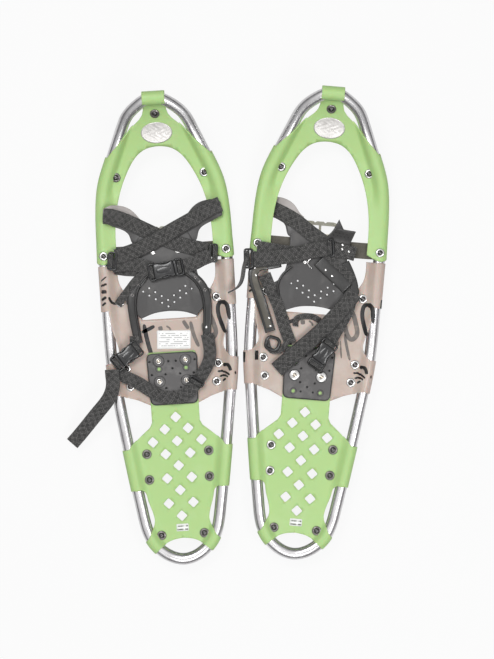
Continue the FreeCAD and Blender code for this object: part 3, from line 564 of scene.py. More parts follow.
@dataclass
class Fold:
    """How a flat sheet goes up over the tube and round it.

    Going outwards, the sheet leaves the deck at the seam, rises in a smooth hollow curve (a
    cubic), meets the round of the tube at hug degrees, follows it all the way about, and comes
    back under the deck in the mirror image of the rise.
    """

    radius: float = SLEEVE_R + SHEET / 2 + 0.1
    seam: float = 19.0
    lift: float = 0.0
    under: float = -1.5
    hug: float = 52.0
    by_y: dict = field(default_factory=dict)

    def values(self, y: Array) -> tuple[Array, Array, Array, Array]:
        """Radius, seam, lift and hug at stations y, read between the places given in by_y."""
        out = []
        for name in ("radius", "seam", "lift", "hug"):
            table = self.by_y.get(name)
            base = getattr(self, name)
            out.append(np.interp(y, *zip(*sorted(table))) if table else np.full(len(y), base))
        return tuple(out)

    def round_length(self) -> float:
        """How far out a sheet reaches when it goes round the tube and back to the seam."""
        start = self.radius * math.cos(math.radians(self.hug))
        return self.radius * math.radians(360 - 2 * self.hug) - start + (self.seam - start) * 1.05

    def side_length(self, degrees: float = 188.0) -> float:
        """How far out a sheet reaches when it stops at an angle round the tube."""
        start = self.radius * math.cos(math.radians(self.hug))
        return self.radius * math.radians(degrees - self.hug) - start

    def place(self, xy: Array, proud: float = 0.0) -> Array:
        """Where flat sheet points end up.

        Args:
            xy: Plan points; past the tube they measure the sheet's own length.
            proud: Distance off the sheet's middle surface, outwards.

        Returns:
            Points in the shoe's frame.
        """
        xy = np.asarray(xy, float).reshape(-1, 2)
        index, out = TUBE.nearest(xy)
        centre, inward, up, out = TUBE.straight_nose(xy, index, out)
        radius, seam, lift, hug = self.values(centre[:, 1])
        hug = np.radians(hug)
        start, rise = radius * np.cos(hug), radius * np.sin(hug)
        slope = -np.cos(hug) / np.sin(hug)

        def hollow(a: Array, low: Array) -> tuple[Array, Array]:
            """Height and slope of the cubic from the tube's side out to the seam."""
            span = seam - start
            f = np.clip((a - start) / span, 0, 1)
            h = rise * (2 * f ** 3 - 3 * f ** 2 + 1) + slope * span * (f ** 3 - 2 * f ** 2 + f) \
                + low * (3 * f ** 2 - 2 * f ** 3)
            d = rise * (6 * f ** 2 - 6 * f) + slope * span * (3 * f ** 2 - 4 * f + 1) + low * (6 * f - 6 * f ** 2)
            return h, d / span

        angle = hug + (out + start) / radius
        back = 2 * math.pi - hug
        rest = (angle - back) * radius
        on_deck = out < -start
        returning = angle > back
        a_in = np.where(on_deck, -out, np.where(returning, start + rest, 0))
        top, top_slope = hollow(a_in, lift)
        low, low_slope = hollow(a_in, -np.full(len(out), self.under))
        a = np.where(on_deck | returning, a_in, radius * np.cos(angle))
        b = np.where(on_deck, top, np.where(returning, -low, radius * np.sin(angle)))
        na = np.where(on_deck, -top_slope, np.where(returning, -low_slope, np.cos(angle)))
        nb = np.where(on_deck, 1.0, np.where(returning, -1.0, np.sin(angle)))
        size = np.hypot(na, nb)
        bend = inward[:, 1] ** 2 * a ** 2 / (2 * TOE_RADIUS) * (centre[:, 1] > TOE_START)
        beside = centre + inward * (a + proud * na / size)[:, None] + up * (b + bend + proud * nb / size)[:, None]
        flat = deck_points(xy) + deck_normal(xy[:, 1]) * (lift + proud)[:, None]
        return np.where((out < -seam)[:, None], flat, beside)


def sheet_fill(step: float, y_low: float, y_high: float, reach: float) -> Array:
    """Plan points for a folded sheet: a level grid in the middle, and rows that follow the
    tube from inside the seam to a reach outside it."""
    x, y = np.meshgrid(np.arange(-100, 100.1, step), np.arange(y_low, y_high, step))
    plain = np.stack([x.ravel() + (np.round(y.ravel() / step) % 2) * step / 2, y.ravel()], 1)
    _, out = TUBE.nearest(plain)
    plain = plain[out < -27]
    pick = (TUBE.points[:, 1] > y_low - 3) & (TUBE.points[:, 1] < y_high + 3)
    stations = np.flatnonzero(pick)[::2]
    outs = np.concatenate([np.arange(-26, -8, 2.0), np.arange(-8, reach, 1.7)])
    line, inward = TUBE.points[stations, :2], TUBE.inward[stations, :2]
    ring = line[:, None] - inward[:, None] * outs[None, :, None]
    return np.concatenate([plain, ring.reshape(-1, 2)])


def mirrored_loop(right_half: Array) -> Array:
    """A closed outline from its right half, which starts and ends near the middle line."""
    left = right_half[::-1] * [-1, 1]
    return np.concatenate([right_half, left])


def rounded(points: Sequence, radius: float) -> Array:
    """A closed outline with each corner turned into an arc of about the radius.

    Args:
        points: The corners, in order.
        radius: How far each arc starts from its corner.

    Returns:
        The closed outline.
    """
    p = np.asarray(points, float)
    out = []
    for before, here, after in zip(np.roll(p, 1, 0), p, np.roll(p, -1, 0)):
        a, b = before - here, after - here
        cut = min(radius, 0.45 * np.linalg.norm(a), 0.45 * np.linalg.norm(b))
        start, end = here + a / np.linalg.norm(a) * cut, here + b / np.linalg.norm(b) * cut
        f = np.linspace(0, 1, 6)[:, None]
        out.append((1 - f) ** 2 * start + 2 * f * (1 - f) * here + f ** 2 * end)
    return np.concatenate(out)


# ---- places, pieces -----------------------------------------------------------------------
class Side(Enum):
    """Which shoe of the pair."""

    LEFT = -1
    RIGHT = 1


@dataclass(frozen=True)
class PairPlace:
    """Where a shoe stands in the pair: turned toe-out and moved to its side."""

    side: Side
    toe_out: float = math.radians(4.2)
    across: float = 115.5
    ahead: float = 5.0
    shift_x: float = 21.6
    shift_y: float = -0.7

    @property
    def name(self) -> str:
        """The shoe's name in node and piece names."""
        return self.side.name.lower()

    def to_pair(self, points: Array) -> Array:
        """Shoe points in millimetres to pair points in metres."""
        turn = -self.side.value * self.toe_out
        c, s = math.cos(turn), math.sin(turn)
        p = np.asarray(points, float).reshape(-1, 3)
        x = p[:, 0] * c - p[:, 1] * s + self.side.value * self.across + self.shift_x
        y = p[:, 0] * s + p[:, 1] * c + self.side.value * self.ahead + self.shift_y
        return np.stack([x, y, p[:, 2]], 1) * MM


def make_piece(name: str, surface: Surface, place: PairPlace, material: bpy.types.Material,
               replaces: Sequence[str] = (), closed: bool = True) -> bpy.types.Object:
    """Turn a surface into a finished piece at the origin, its place in its mesh.

    Args:
        name: The piece's name, without the shoe's.
        surface: Its shape in the shoe's frame.
        place: The shoe it belongs to.
        material: Its finish.
        replaces: Node names, without the shoe's, that it stands for.
        closed: Whether it is a closed skin, whose faces are turned outwards.

    Returns:
        The piece.
    """
    mesh = bpy.data.meshes.new(f"{place.name}_{name}")
    faces = [row for block in surface.faces for row in block.tolist()]
    mesh.from_pydata(place.to_pair(surface.points).tolist(), [], faces)
    if surface.uv is not None:
        layer = mesh.uv_layers.new(name="UVMap")
        corner = np.zeros(len(mesh.loops), np.int32)
        mesh.loops.foreach_get("vertex_index", corner)
        layer.data.foreach_set("uv", surface.uv[corner].astype(np.float32).ravel())
    if closed:
        work = bmesh.new()
        work.from_mesh(mesh)
        bmesh.ops.recalc_face_normals(work, faces=work.faces)
        work.to_mesh(mesh)
        work.free()
    mesh.polygons.foreach_set("use_smooth", [True] * len(mesh.polygons))
    mesh.materials.append(material)
    piece = bpy.data.objects.new(mesh.name, mesh)
    bpy.context.scene.collection.objects.link(piece)
    if replaces:
        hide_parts(*[f"{place.name}_{node}" for node in replaces])
    LOG.info("%-32s %6d faces", piece.name, len(mesh.polygons))
    return piece


def thickened(piece: bpy.types.Object, thickness: float) -> bpy.types.Object:
    """Give an open sheet its thickness, half on each side.

    Args:
        piece: An open sheet.
        thickness: Of the wall, in millimetres.

    Returns:
        The same piece.
    """
    wall = piece.modifiers.new("wall", "SOLIDIFY")
    wall.thickness = thickness * MM
    wall.offset = 0.0
    return piece


# ---- finishes -----------------------------------------------------------------------------
Colour = tuple[float, float, float]


class Graph:
    """Short ways to add and join the nodes of a material or a node group."""

    def __init__(self, tree: bpy.types.NodeTree) -> None:
        """Keep the tree that nodes go into."""
        self.tree = tree

    def add(self, kind: str, inputs: Optional[dict] = None, **settings: object) -> bpy.types.Node:
        """Add a node.

        Args:
            kind: Its type name, without the ShaderNode in front.
            inputs: A value or an output socket for each input, by name or number.
            settings: The node's own properties.

        Returns:
            The node.
        """
        node = self.tree.nodes.new(kind if kind.startswith("Node") else "ShaderNode" + kind)
        for key, value in settings.items():
            setattr(node, key, value)
        for key, value in (inputs or {}).items():
            if isinstance(value, bpy.types.NodeSocket):
                self.tree.links.new(value, node.inputs[key])
            else:
                node.inputs[key].default_value = value
        return node

    def math(self, operation: str, *values: object, clamp: bool = False) -> bpy.types.NodeSocket:
        """A Math node's result for values or sockets."""
        return self.add("Math", dict(enumerate(values)), operation=operation, use_clamp=clamp).outputs[0]

    def ramp(self, value: bpy.types.NodeSocket, low: float, high: float) -> bpy.types.NodeSocket:
        """A value read from nought at low to one at high, smooth between."""
        return self.add("MapRange", {0: value, 1: low, 2: high}, interpolation_type="SMOOTHSTEP").outputs[0]

    def mix(self, factor: object, a: object, b: object) -> bpy.types.NodeSocket:
        """Two colours mixed."""
        node = self.add("Mix", data_type="RGBA")
        for socket, value in zip((node.inputs[0], node.inputs[6], node.inputs[7]), (factor, a, b)):
            if isinstance(value, bpy.types.NodeSocket):
                self.tree.links.new(value, socket)
            else:
                socket.default_value = (*value,
                                        1.0) if isinstance(value, tuple) and len(value) == 3 else value
        return node.outputs[2]


def node_group(name: str, inputs: dict, outputs: dict) -> tuple[bpy.types.NodeTree, Graph, dict,
                                                                bpy.types.Node]:
    """Start a node group with named inputs and outputs.

    Args:
        name: The group's name.
        inputs: Socket kind and starting value for each input name.
        outputs: Socket kind for each output name.

    Returns:
        (group, its graph, its input sockets by name, its output node).
    """
    group = bpy.data.node_groups.new(name, "ShaderNodeTree")
    for key, (kind, value) in inputs.items():
        socket = group.interface.new_socket(key, in_out="INPUT", socket_type="NodeSocket" + kind)
        if value is not None:
            socket.default_value = value
    for key, kind in outputs.items():
        group.interface.new_socket(key, in_out="OUTPUT", socket_type="NodeSocket" + kind)
    graph = Graph(group)
    entry = graph.add("NodeGroupInput")
    return group, graph, {key: entry.outputs[key] for key in inputs}, graph.add("NodeGroupOutput")


class Effects:
    """The node groups that the finishes share, each built once."""

    def __init__(self) -> None:
        """Build every group."""
        self.grain = self.build_grain()
        self.wear = self.build_wear()
        self.webbing = self.build_webbing()

    def build_grain(self) -> bpy.types.NodeTree:
        """Moulded or calendered grain: fine cells over a slow unevenness, as a height."""
        group, g, i, out = node_group("surface_grain", {"Vector": ("Vector", None), "Cell": ("Float", 900.0),
                                                        "Swell": ("Float", 40.0)},
                                      {"Height": "Float", "Mask": "Float"})
        cells = g.add("TexVoronoi", {"Vector": i["Vector"], "Scale": i["Cell"]}, feature="SMOOTH_F1")
        fine = g.add("TexNoise", {"Vector": i["Vector"], "Scale": i["Cell"], "Detail": 3.0})
        slow = g.add("TexNoise", {"Vector": i["Vector"], "Scale": i["Swell"], "Detail": 4.0})
        height = g.math("ADD", g.math("MULTIPLY", cells.outputs["Distance"], 0.5),
                        g.math("MULTIPLY", fine.outputs["Fac"], 0.5))
        g.tree.links.new(height, out.inputs["Height"])
        g.tree.links.new(slow.outputs["Fac"], out.inputs["Mask"])
        return group

    def build_wear(self) -> bpy.types.NodeTree:
        """Scuffs and dust: a colour that gives way to a worn one in patches and fine scratches."""
        group, g, i, out = node_group("wear_and_dust", {
            "Vector": ("Vector", None), "Color": ("Color", (0.5, 0.5, 0.5, 1)),
                                                        "Worn": ("Color", (0.7, 0.7, 0.7, 1)),
            "Amount": ("Float", 0.3), "Scale": ("Float", 25.0)}, {"Color": "Color", "Mask": "Float"})
        patch = g.add("TexNoise", {"Vector": i["Vector"], "Scale": i["Scale"], "Detail": 6.0,
                                   "Roughness": 0.65})
        stretched = g.add("Mapping", {"Vector": i["Vector"], "Scale": (1.0, 7.0, 1.0),
                                      "Rotation": (0, 0, 0.6)})
        lines = g.add("TexNoise", {"Vector": stretched.outputs[0], "Scale": 260.0, "Detail": 2.0})
        mask = g.math("ADD", g.ramp(patch.outputs["Fac"], 0.48, 0.72),
                      g.math("MULTIPLY", g.ramp(lines.outputs["Fac"], 0.66, 0.74), 0.8), clamp=True)
        mask = g.math("MULTIPLY", mask, i["Amount"], clamp=True)
        g.tree.links.new(g.mix(mask, i["Color"], i["Worn"]), out.inputs["Color"])
        g.tree.links.new(mask, out.inputs["Mask"])
        return group

    def build_webbing(self) -> bpy.types.NodeTree:
        """Woven strap: fine ribs, and raised threads that cross in long diamonds."""
        group, g, i, out = node_group("diamond_webbing",
                                      {"Vector": ("Vector", None), "Pitch": ("Float", 0.0115),
                                                          "Half": ("Float", 0.0125)},
                                      {"Height": "Float", "Thread": "Float"})
        warp = g.add("TexNoise", {"Vector": i["Vector"], "Scale": 110.0, "Detail": 2.0})
        split = g.add("SeparateXYZ", {"Vector": i["Vector"]})
        u = g.math("ADD", g.math("DIVIDE", split.outputs[0], i["Pitch"]),
                   g.math("MULTIPLY", warp.outputs["Fac"], 0.12))
        v = g.math("DIVIDE", split.outputs[1], i["Half"])
        fold = g.math("ABSOLUTE", g.math("SUBTRACT", g.math("FRACT", v), 0.5))
        thread = None
        for sign, shift in ((1.0, 0.0), (-1.0, 0.0), (1.0, 0.28), (-1.0, 0.28)):
            across = g.math("ADD", g.math("ADD", u, g.math("MULTIPLY", fold, sign)), shift)
            saw = g.math("ABSOLUTE", g.math("SUBTRACT", g.math("FRACT", across), 0.5))
            line = g.ramp(saw, 0.085, 0.02)
            thread = line if thread is None else g.math("MAXIMUM", thread, line)
        broken = g.add("TexNoise", {"Vector": i["Vector"], "Scale": 420.0, "Detail": 2.0})
        thread = g.math("MULTIPLY", thread, g.ramp(broken.outputs["Fac"], 0.36, 0.58))
        inside_edge = g.ramp(g.math("ABSOLUTE", v), 0.97, 0.86)
        thread = g.math("MULTIPLY", thread, inside_edge)
        ribs = g.math("SINE", g.math("MULTIPLY", split.outputs[0], 6283.0))
        cords = g.math("SINE", g.math("MULTIPLY", split.outputs[1], 5200.0))
        weave = g.math("MULTIPLY", g.math("MULTIPLY", ribs, cords), 0.22)
        g.tree.links.new(g.math("ADD", thread, weave), out.inputs["Height"])
        g.tree.links.new(thread, out.inputs["Thread"])
        return group


@dataclass(frozen=True)
class Finish:
    """What every finish has: a name, its colours, and how rough and bumpy it is."""

    name: str
    colour: Colour
    worn: Colour = (0.6, 0.6, 0.6)
    amount: float = 0.3
    roughness: float = 0.5
    rough_swing: float = 0.12
    metallic: float = 0.0
    cell: float = 900.0
    bump: float = 0.15
    depth: float = 0.0002
    scale: float = 25.0
    coat: float = 0.0
    sheen: float = 0.0
    subsurface: float = 0.0
    anisotropic: float = 0.0

    def start(self) -> tuple[bpy.types.Material, Graph, bpy.types.Node]:
        """An empty material with its shader and output in place."""
        material = bpy.data.materials.new(self.name)
        material.use_nodes = True
        material.node_tree.nodes.clear()
        g = Graph(material.node_tree)
        shader = g.add("BsdfPrincipled", {"Metallic": self.metallic, "Coat Weight": self.coat,
                                          "Sheen Weight": self.sheen, "Anisotropic": self.anisotropic})
        if self.subsurface:
            shader.inputs["Subsurface Weight"].default_value = self.subsurface
            shader.inputs["Subsurface Scale"].default_value = 0.004
        out = g.add("OutputMaterial")
        g.tree.links.new(shader.outputs[0], out.inputs[0])
        return material, g, shader

    def place(self, g: Graph) -> bpy.types.NodeSocket:
        """The coordinates that the patterns read."""
        return g.add("TexCoord").outputs["Object"]

    def material(self, effects: Effects) -> bpy.types.Material:
        """The finished material: worn colour, uneven roughness and grain."""
        material, g, shader = self.start()
        at = self.place(g)
        grain = g.add("Group", node_tree=effects.grain)
        wear = g.add("Group", node_tree=effects.wear)
        for node, values in ((grain, {"Vector": at, "Cell": self.cell}),
                             (wear, {"Vector": at, "Color": (*self.colour, 1), "Worn": (*self.worn, 1),
                                     "Amount": self.amount, "Scale": self.scale})):
            for key, value in values.items():
                if isinstance(value, bpy.types.NodeSocket):
                    g.tree.links.new(value, node.inputs[key])
                else:
                    node.inputs[key].default_value = value
        rough = g.math("ADD", g.math("MULTIPLY", grain.outputs["Mask"], 2 * self.rough_swing),
                       self.roughness - self.rough_swing)
        bump = g.add("Bump", {"Strength": self.bump, "Distance": self.depth,
                              "Height": grain.outputs["Height"]})
        for key, value in (("Base Color", wear.outputs["Color"]), ("Roughness", rough),
                           ("Normal", bump.outputs[0])):
            g.tree.links.new(value, shader.inputs[key])
        return material


@dataclass(frozen=True)
class WebbingFinish(Finish):
    """Dark strap webbing with paler raised threads."""

    thread: Colour = (0.16, 0.155, 0.15)
    half: float = 0.0125

    def material(self, effects: Effects) -> bpy.types.Material:
        """The webbing's material, its pattern laid along each strap."""
        material, g, shader = self.start()
        at = g.add("TexCoord").outputs["UV"]
        weave = g.add("Group", node_tree=effects.webbing)
        g.tree.links.new(at, weave.inputs["Vector"])
        weave.inputs["Half"].default_value = self.half
        fuzz = g.add("TexNoise", {"Vector": at, "Scale": 900.0, "Detail": 4.0})
        patches = g.add("TexNoise", {"Vector": at, "Scale": 60.0, "Detail": 3.0})
        base = g.mix(g.ramp(patches.outputs["Fac"], 0.3, 0.75), self.colour, self.worn)
        colour = g.mix(g.math("MULTIPLY", weave.outputs["Thread"], 0.85), base, self.thread)
        height = g.math("ADD", weave.outputs["Height"], g.math("MULTIPLY", fuzz.outputs["Fac"], 0.35))
        bump = g.add("Bump", {"Strength": self.bump, "Distance": self.depth, "Height": height})
        rough = g.math("SUBTRACT", self.roughness, g.math("MULTIPLY", weave.outputs["Thread"], 0.2))
        for key, value in (("Base Color", colour), ("Roughness", rough), ("Normal", bump.outputs[0])):
            g.tree.links.new(value, shader.inputs[key])
        return material


@dataclass(frozen=True)
class TubeFinish(Finish):
    """Drawn aluminium: streaks along the tube and a soft satin shine."""

    def material(self, effects: Effects) -> bpy.types.Material:
        """The tube's material, its streaks laid along the tube by its own u and v."""
        material, g, shader = self.start()
        at = g.add("TexCoord").outputs["UV"]
        drawn = g.add("Mapping", {"Vector": at, "Scale": (6.0, 900.0, 1.0)})
        streak = g.add("TexNoise", {"Vector": drawn.outputs[0], "Scale": 1.0, "Detail": 4.0,
                                    "Roughness": 0.6})
        cloud = g.add("TexNoise", {"Vector": g.add("TexCoord").outputs["Object"], "Scale": 35.0,
                                   "Detail": 5.0})
        colour = g.mix(g.ramp(cloud.outputs["Fac"], 0.35, 0.75), self.colour, self.worn)
        rough = g.math("ADD", g.math("MULTIPLY", streak.outputs["Fac"], 0.22), self.roughness - 0.11)
        bump = g.add("Bump", {"Strength": self.bump, "Distance": self.depth, "Height": streak.outputs["Fac"]})
        for key, value in (("Base Color", colour), ("Roughness", rough), ("Normal", bump.outputs[0])):
            g.tree.links.new(value, shader.inputs[key])
        return material


@dataclass(frozen=True)
class LabelFinish(Finish):
    """A white label with rows of faint grey blocks that say nothing."""

    rows: float = 9.0
    ink: Colour = (0.42, 0.42, 0.42)

    def material(self, effects: Effects) -> bpy.types.Material:
        """The label's material, its blocks placed by the label's own u and v."""
        material, g, shader = self.start()
        at = g.add("TexCoord").outputs["UV"]
        split = g.add("SeparateXYZ", {"Vector": at})
        row = g.math("MULTIPLY", split.outputs[1], self.rows)
        word = g.add("TexVoronoi", {"Vector": g.add("CombineXYZ", {
            0: g.math("MULTIPLY", split.outputs[0], 13.0), 1: g.math("MULTIPLY", g.math("FLOOR", row),
                                                                     7.3)}).outputs[0],
            "Scale": 1.0}, feature="F1")
        bar = g.ramp(g.math("ABSOLUTE", g.math("SUBTRACT", g.math("FRACT", row), 0.5)), 0.26, 0.14)
        here = g.math("GREATER_THAN", word.outputs["Color"], 0.42)
        margin = g.math("MULTIPLY", g.ramp(g.math("ABSOLUTE", g.math("SUBTRACT", split.outputs[0], 0.5)),
                                           0.45, 0.43),
                        g.ramp(g.math("ABSOLUTE", g.math("SUBTRACT", split.outputs[1], 0.5)), 0.44, 0.42))
        mask = g.math("MULTIPLY", g.math("MULTIPLY", bar, here), margin)
        colour = g.mix(mask, self.colour, self.ink)
        creases = g.add("TexNoise", {"Vector": g.add("TexCoord").outputs["Object"], "Scale": 90.0,
                                     "Detail": 3.0})
        bump = g.add("Bump", {"Strength": self.bump, "Distance": self.depth,
                              "Height": creases.outputs["Fac"]})
        g.tree.links.new(colour, shader.inputs["Base Color"])
        g.tree.links.new(g.math("ADD", g.math("MULTIPLY", creases.outputs["Fac"], 0.2), self.roughness),
                         shader.inputs["Roughness"])
        g.tree.links.new(bump.outputs[0], shader.inputs["Normal"])
        return material


FINISHES = [
    TubeFinish("drawn_aluminium", (0.88, 0.87, 0.88), worn=(0.74, 0.72, 0.73), roughness=0.26, metallic=1.0,
               bump=0.12, depth=0.0001),
    Finish("green_deck", (0.40, 0.60, 0.23), worn=(0.47, 0.65, 0.31), amount=0.35, roughness=0.48,
           cell=1100.0,
           bump=0.22, depth=0.00025, scale=18.0, subsurface=0.12),
    Finish("tan_deck", (0.50, 0.40, 0.345), worn=(0.62, 0.54, 0.49), amount=0.55, roughness=0.36, cell=700.0,
           bump=0.14, depth=0.0002, scale=14.0, subsurface=0.2, coat=0.15),
    Finish("printed_ink", (0.012, 0.012, 0.013), worn=(0.10, 0.09, 0.08), amount=0.45, roughness=0.5,
           scale=60.0),
    Finish("faded_ink", (0.14, 0.125, 0.115), worn=(0.35, 0.28, 0.23), amount=0.6, roughness=0.5, scale=60.0),
    Finish("gunmetal", (0.10, 0.095, 0.095), worn=(0.22, 0.21, 0.20), amount=0.25, roughness=0.13,
           metallic=0.9,
           rough_swing=0.06, bump=0.05, depth=0.00005, scale=120.0),
    Finish("dull_nickel", (0.22, 0.205, 0.20), worn=(0.34, 0.32, 0.31), amount=0.35, roughness=0.30,
           metallic=0.8,
           rough_swing=0.08, bump=0.05, depth=0.00005, scale=90.0),
    Finish("worn_brass_steel", (0.62, 0.56, 0.48), worn=(0.34, 0.30, 0.26), amount=0.5, roughness=0.25,
           metallic=0.9,
           rough_swing=0.08, bump=0.06, depth=0.00005, scale=150.0),
    # Near-black finish: painted shade for small hollows and holes.
    Finish("deep_black", (0.006, 0.006, 0.006), worn=(0.03, 0.03, 0.03), amount=0.3, roughness=0.7,
           scale=90.0),
    Finish("olive_inlay", (0.085, 0.078, 0.062), worn=(0.17, 0.155, 0.125), amount=0.6, roughness=0.4,
           cell=900.0,
           bump=0.2, depth=0.0002, scale=40.0),
    Finish("ridge_polyurethane", (0.022, 0.0215, 0.021), worn=(0.075, 0.072, 0.07), amount=0.45,
           roughness=0.34,
           cell=900.0, bump=0.18, depth=0.0002, scale=45.0, coat=0.15),
    Finish("bright_zinc", (0.80, 0.79, 0.78), worn=(0.60, 0.58, 0.55), amount=0.3, roughness=0.24,
           metallic=1.0,
           rough_swing=0.08, bump=0.06, depth=0.00005, scale=90.0),
    Finish("crampon_steel", (0.62, 0.59, 0.52), worn=(0.42, 0.38, 0.32), amount=0.6, roughness=0.40,
           metallic=0.9,
           cell=500.0, bump=0.10, depth=0.0001, scale=40.0),
    Finish("badge_foil", (0.66, 0.64, 0.62), worn=(0.52, 0.50, 0.48), amount=0.7, roughness=0.33,
           metallic=0.35,
           cell=160.0, bump=0.35, depth=0.0006, scale=55.0, coat=0.3),
    Finish("heel_plate_polymer", (0.090, 0.086, 0.086), worn=(0.20, 0.195, 0.19), amount=0.45, roughness=0.45,
           cell=800.0, bump=0.25, depth=0.0003, scale=45.0),
    Finish("harness_polyurethane", (0.055, 0.053, 0.053), worn=(0.13, 0.125, 0.12), amount=0.5,
           roughness=0.40,
           cell=1000.0, bump=0.25, depth=0.00025, scale=22.0, sheen=0.15),
    Finish("flap_edge_polyurethane", (0.36, 0.33, 0.32), worn=(0.50, 0.46, 0.44), amount=0.4, roughness=0.45,
           cell=900.0, bump=0.2, depth=0.0002, scale=30.0),
    Finish("buckle_acetal", (0.013, 0.013, 0.014), worn=(0.07, 0.07, 0.07), amount=0.35, roughness=0.30,
           rough_swing=0.1, cell=1400.0, bump=0.10, depth=0.0001, scale=70.0, coat=0.2),
    WebbingFinish("strap_webbing", (0.022, 0.0215, 0.021), worn=(0.045, 0.044, 0.043), roughness=0.75,
                  bump=0.8, depth=0.0006, sheen=0.3),
    WebbingFinish("pivot_webbing", (0.070, 0.064, 0.050), worn=(0.11, 0.10, 0.08), roughness=0.7, bump=0.5,
                  depth=0.0004, thread=(0.10, 0.09, 0.072), half=0.013),
    LabelFinish("printed_label", (0.88, 0.88, 0.87), roughness=0.35, bump=0.15, depth=0.0004),
    LabelFinish("size_label_print", (0.86, 0.87, 0.84), roughness=0.35, rows=2.2, bump=0.1, depth=0.0003,
                ink=(0.10, 0.12, 0.08)),
]


# ---- sub-assemblies -----------------------------------------------------------------------
@dataclass
class Workshop:
    """What every sub-assembly needs: its shoe's place and the finishes."""

    place: PairPlace
    finishes: dict

    def piece(self, name: str, surface: Surface, finish: str, slot: str, body: str,
              replaces: Sequence[str] = (), closed: bool = True) -> bpy.types.Object:
        """Make a piece and let it ride on one of the shoe's bodies.

        Args:
            name: The piece's name, without the shoe's.
            surface: Its shape.
            finish: The name of its finish.
            slot: Not used.
            body: The body it rides on.
            replaces: Nodes that it stands for.
            closed: Whether it is a closed skin.

        Returns:
            The piece.
        """
        made = make_piece(name, surface, self.place, self.finishes[finish], replaces, closed)
        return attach(made, f"{self.place.name}_{body}")

    def bent(self, name: str, surface: Surface, finish: str, slot: str, bodies: tuple[str, str],
             start: Sequence, end: Sequence, replaces: Sequence[str] = ()) -> bpy.types.Object:
        """Make a piece for the stretch between two of the shoe's bodies, its place baked into its mesh; it rides on
        neither.

        Args:
            name: The piece's name, without the shoe's.
            surface: Its shape.
            finish: The name of its finish.
            slot: Not used.
            bodies: The two bodies.
            start: Where the first body's hold ends.
            end: Where the second body's hold begins.
            replaces: Nodes that it stands for.

        Returns:
            The piece.
        """
        made = make_piece(name, surface, self.place, self.finishes[finish], replaces)
        a, b = (f"{self.place.name}_{body}" for body in bodies)
        ends = self.place.to_pair(np.array([start, end], float))
        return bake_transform(made)

    def dress(self, node: str, finish: str) -> None:
        """Give a CAD node that stays its material."""
        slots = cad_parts[f"{self.place.name}_{node}"].data.materials
        slots.clear()
        slots.append(self.finishes[finish])


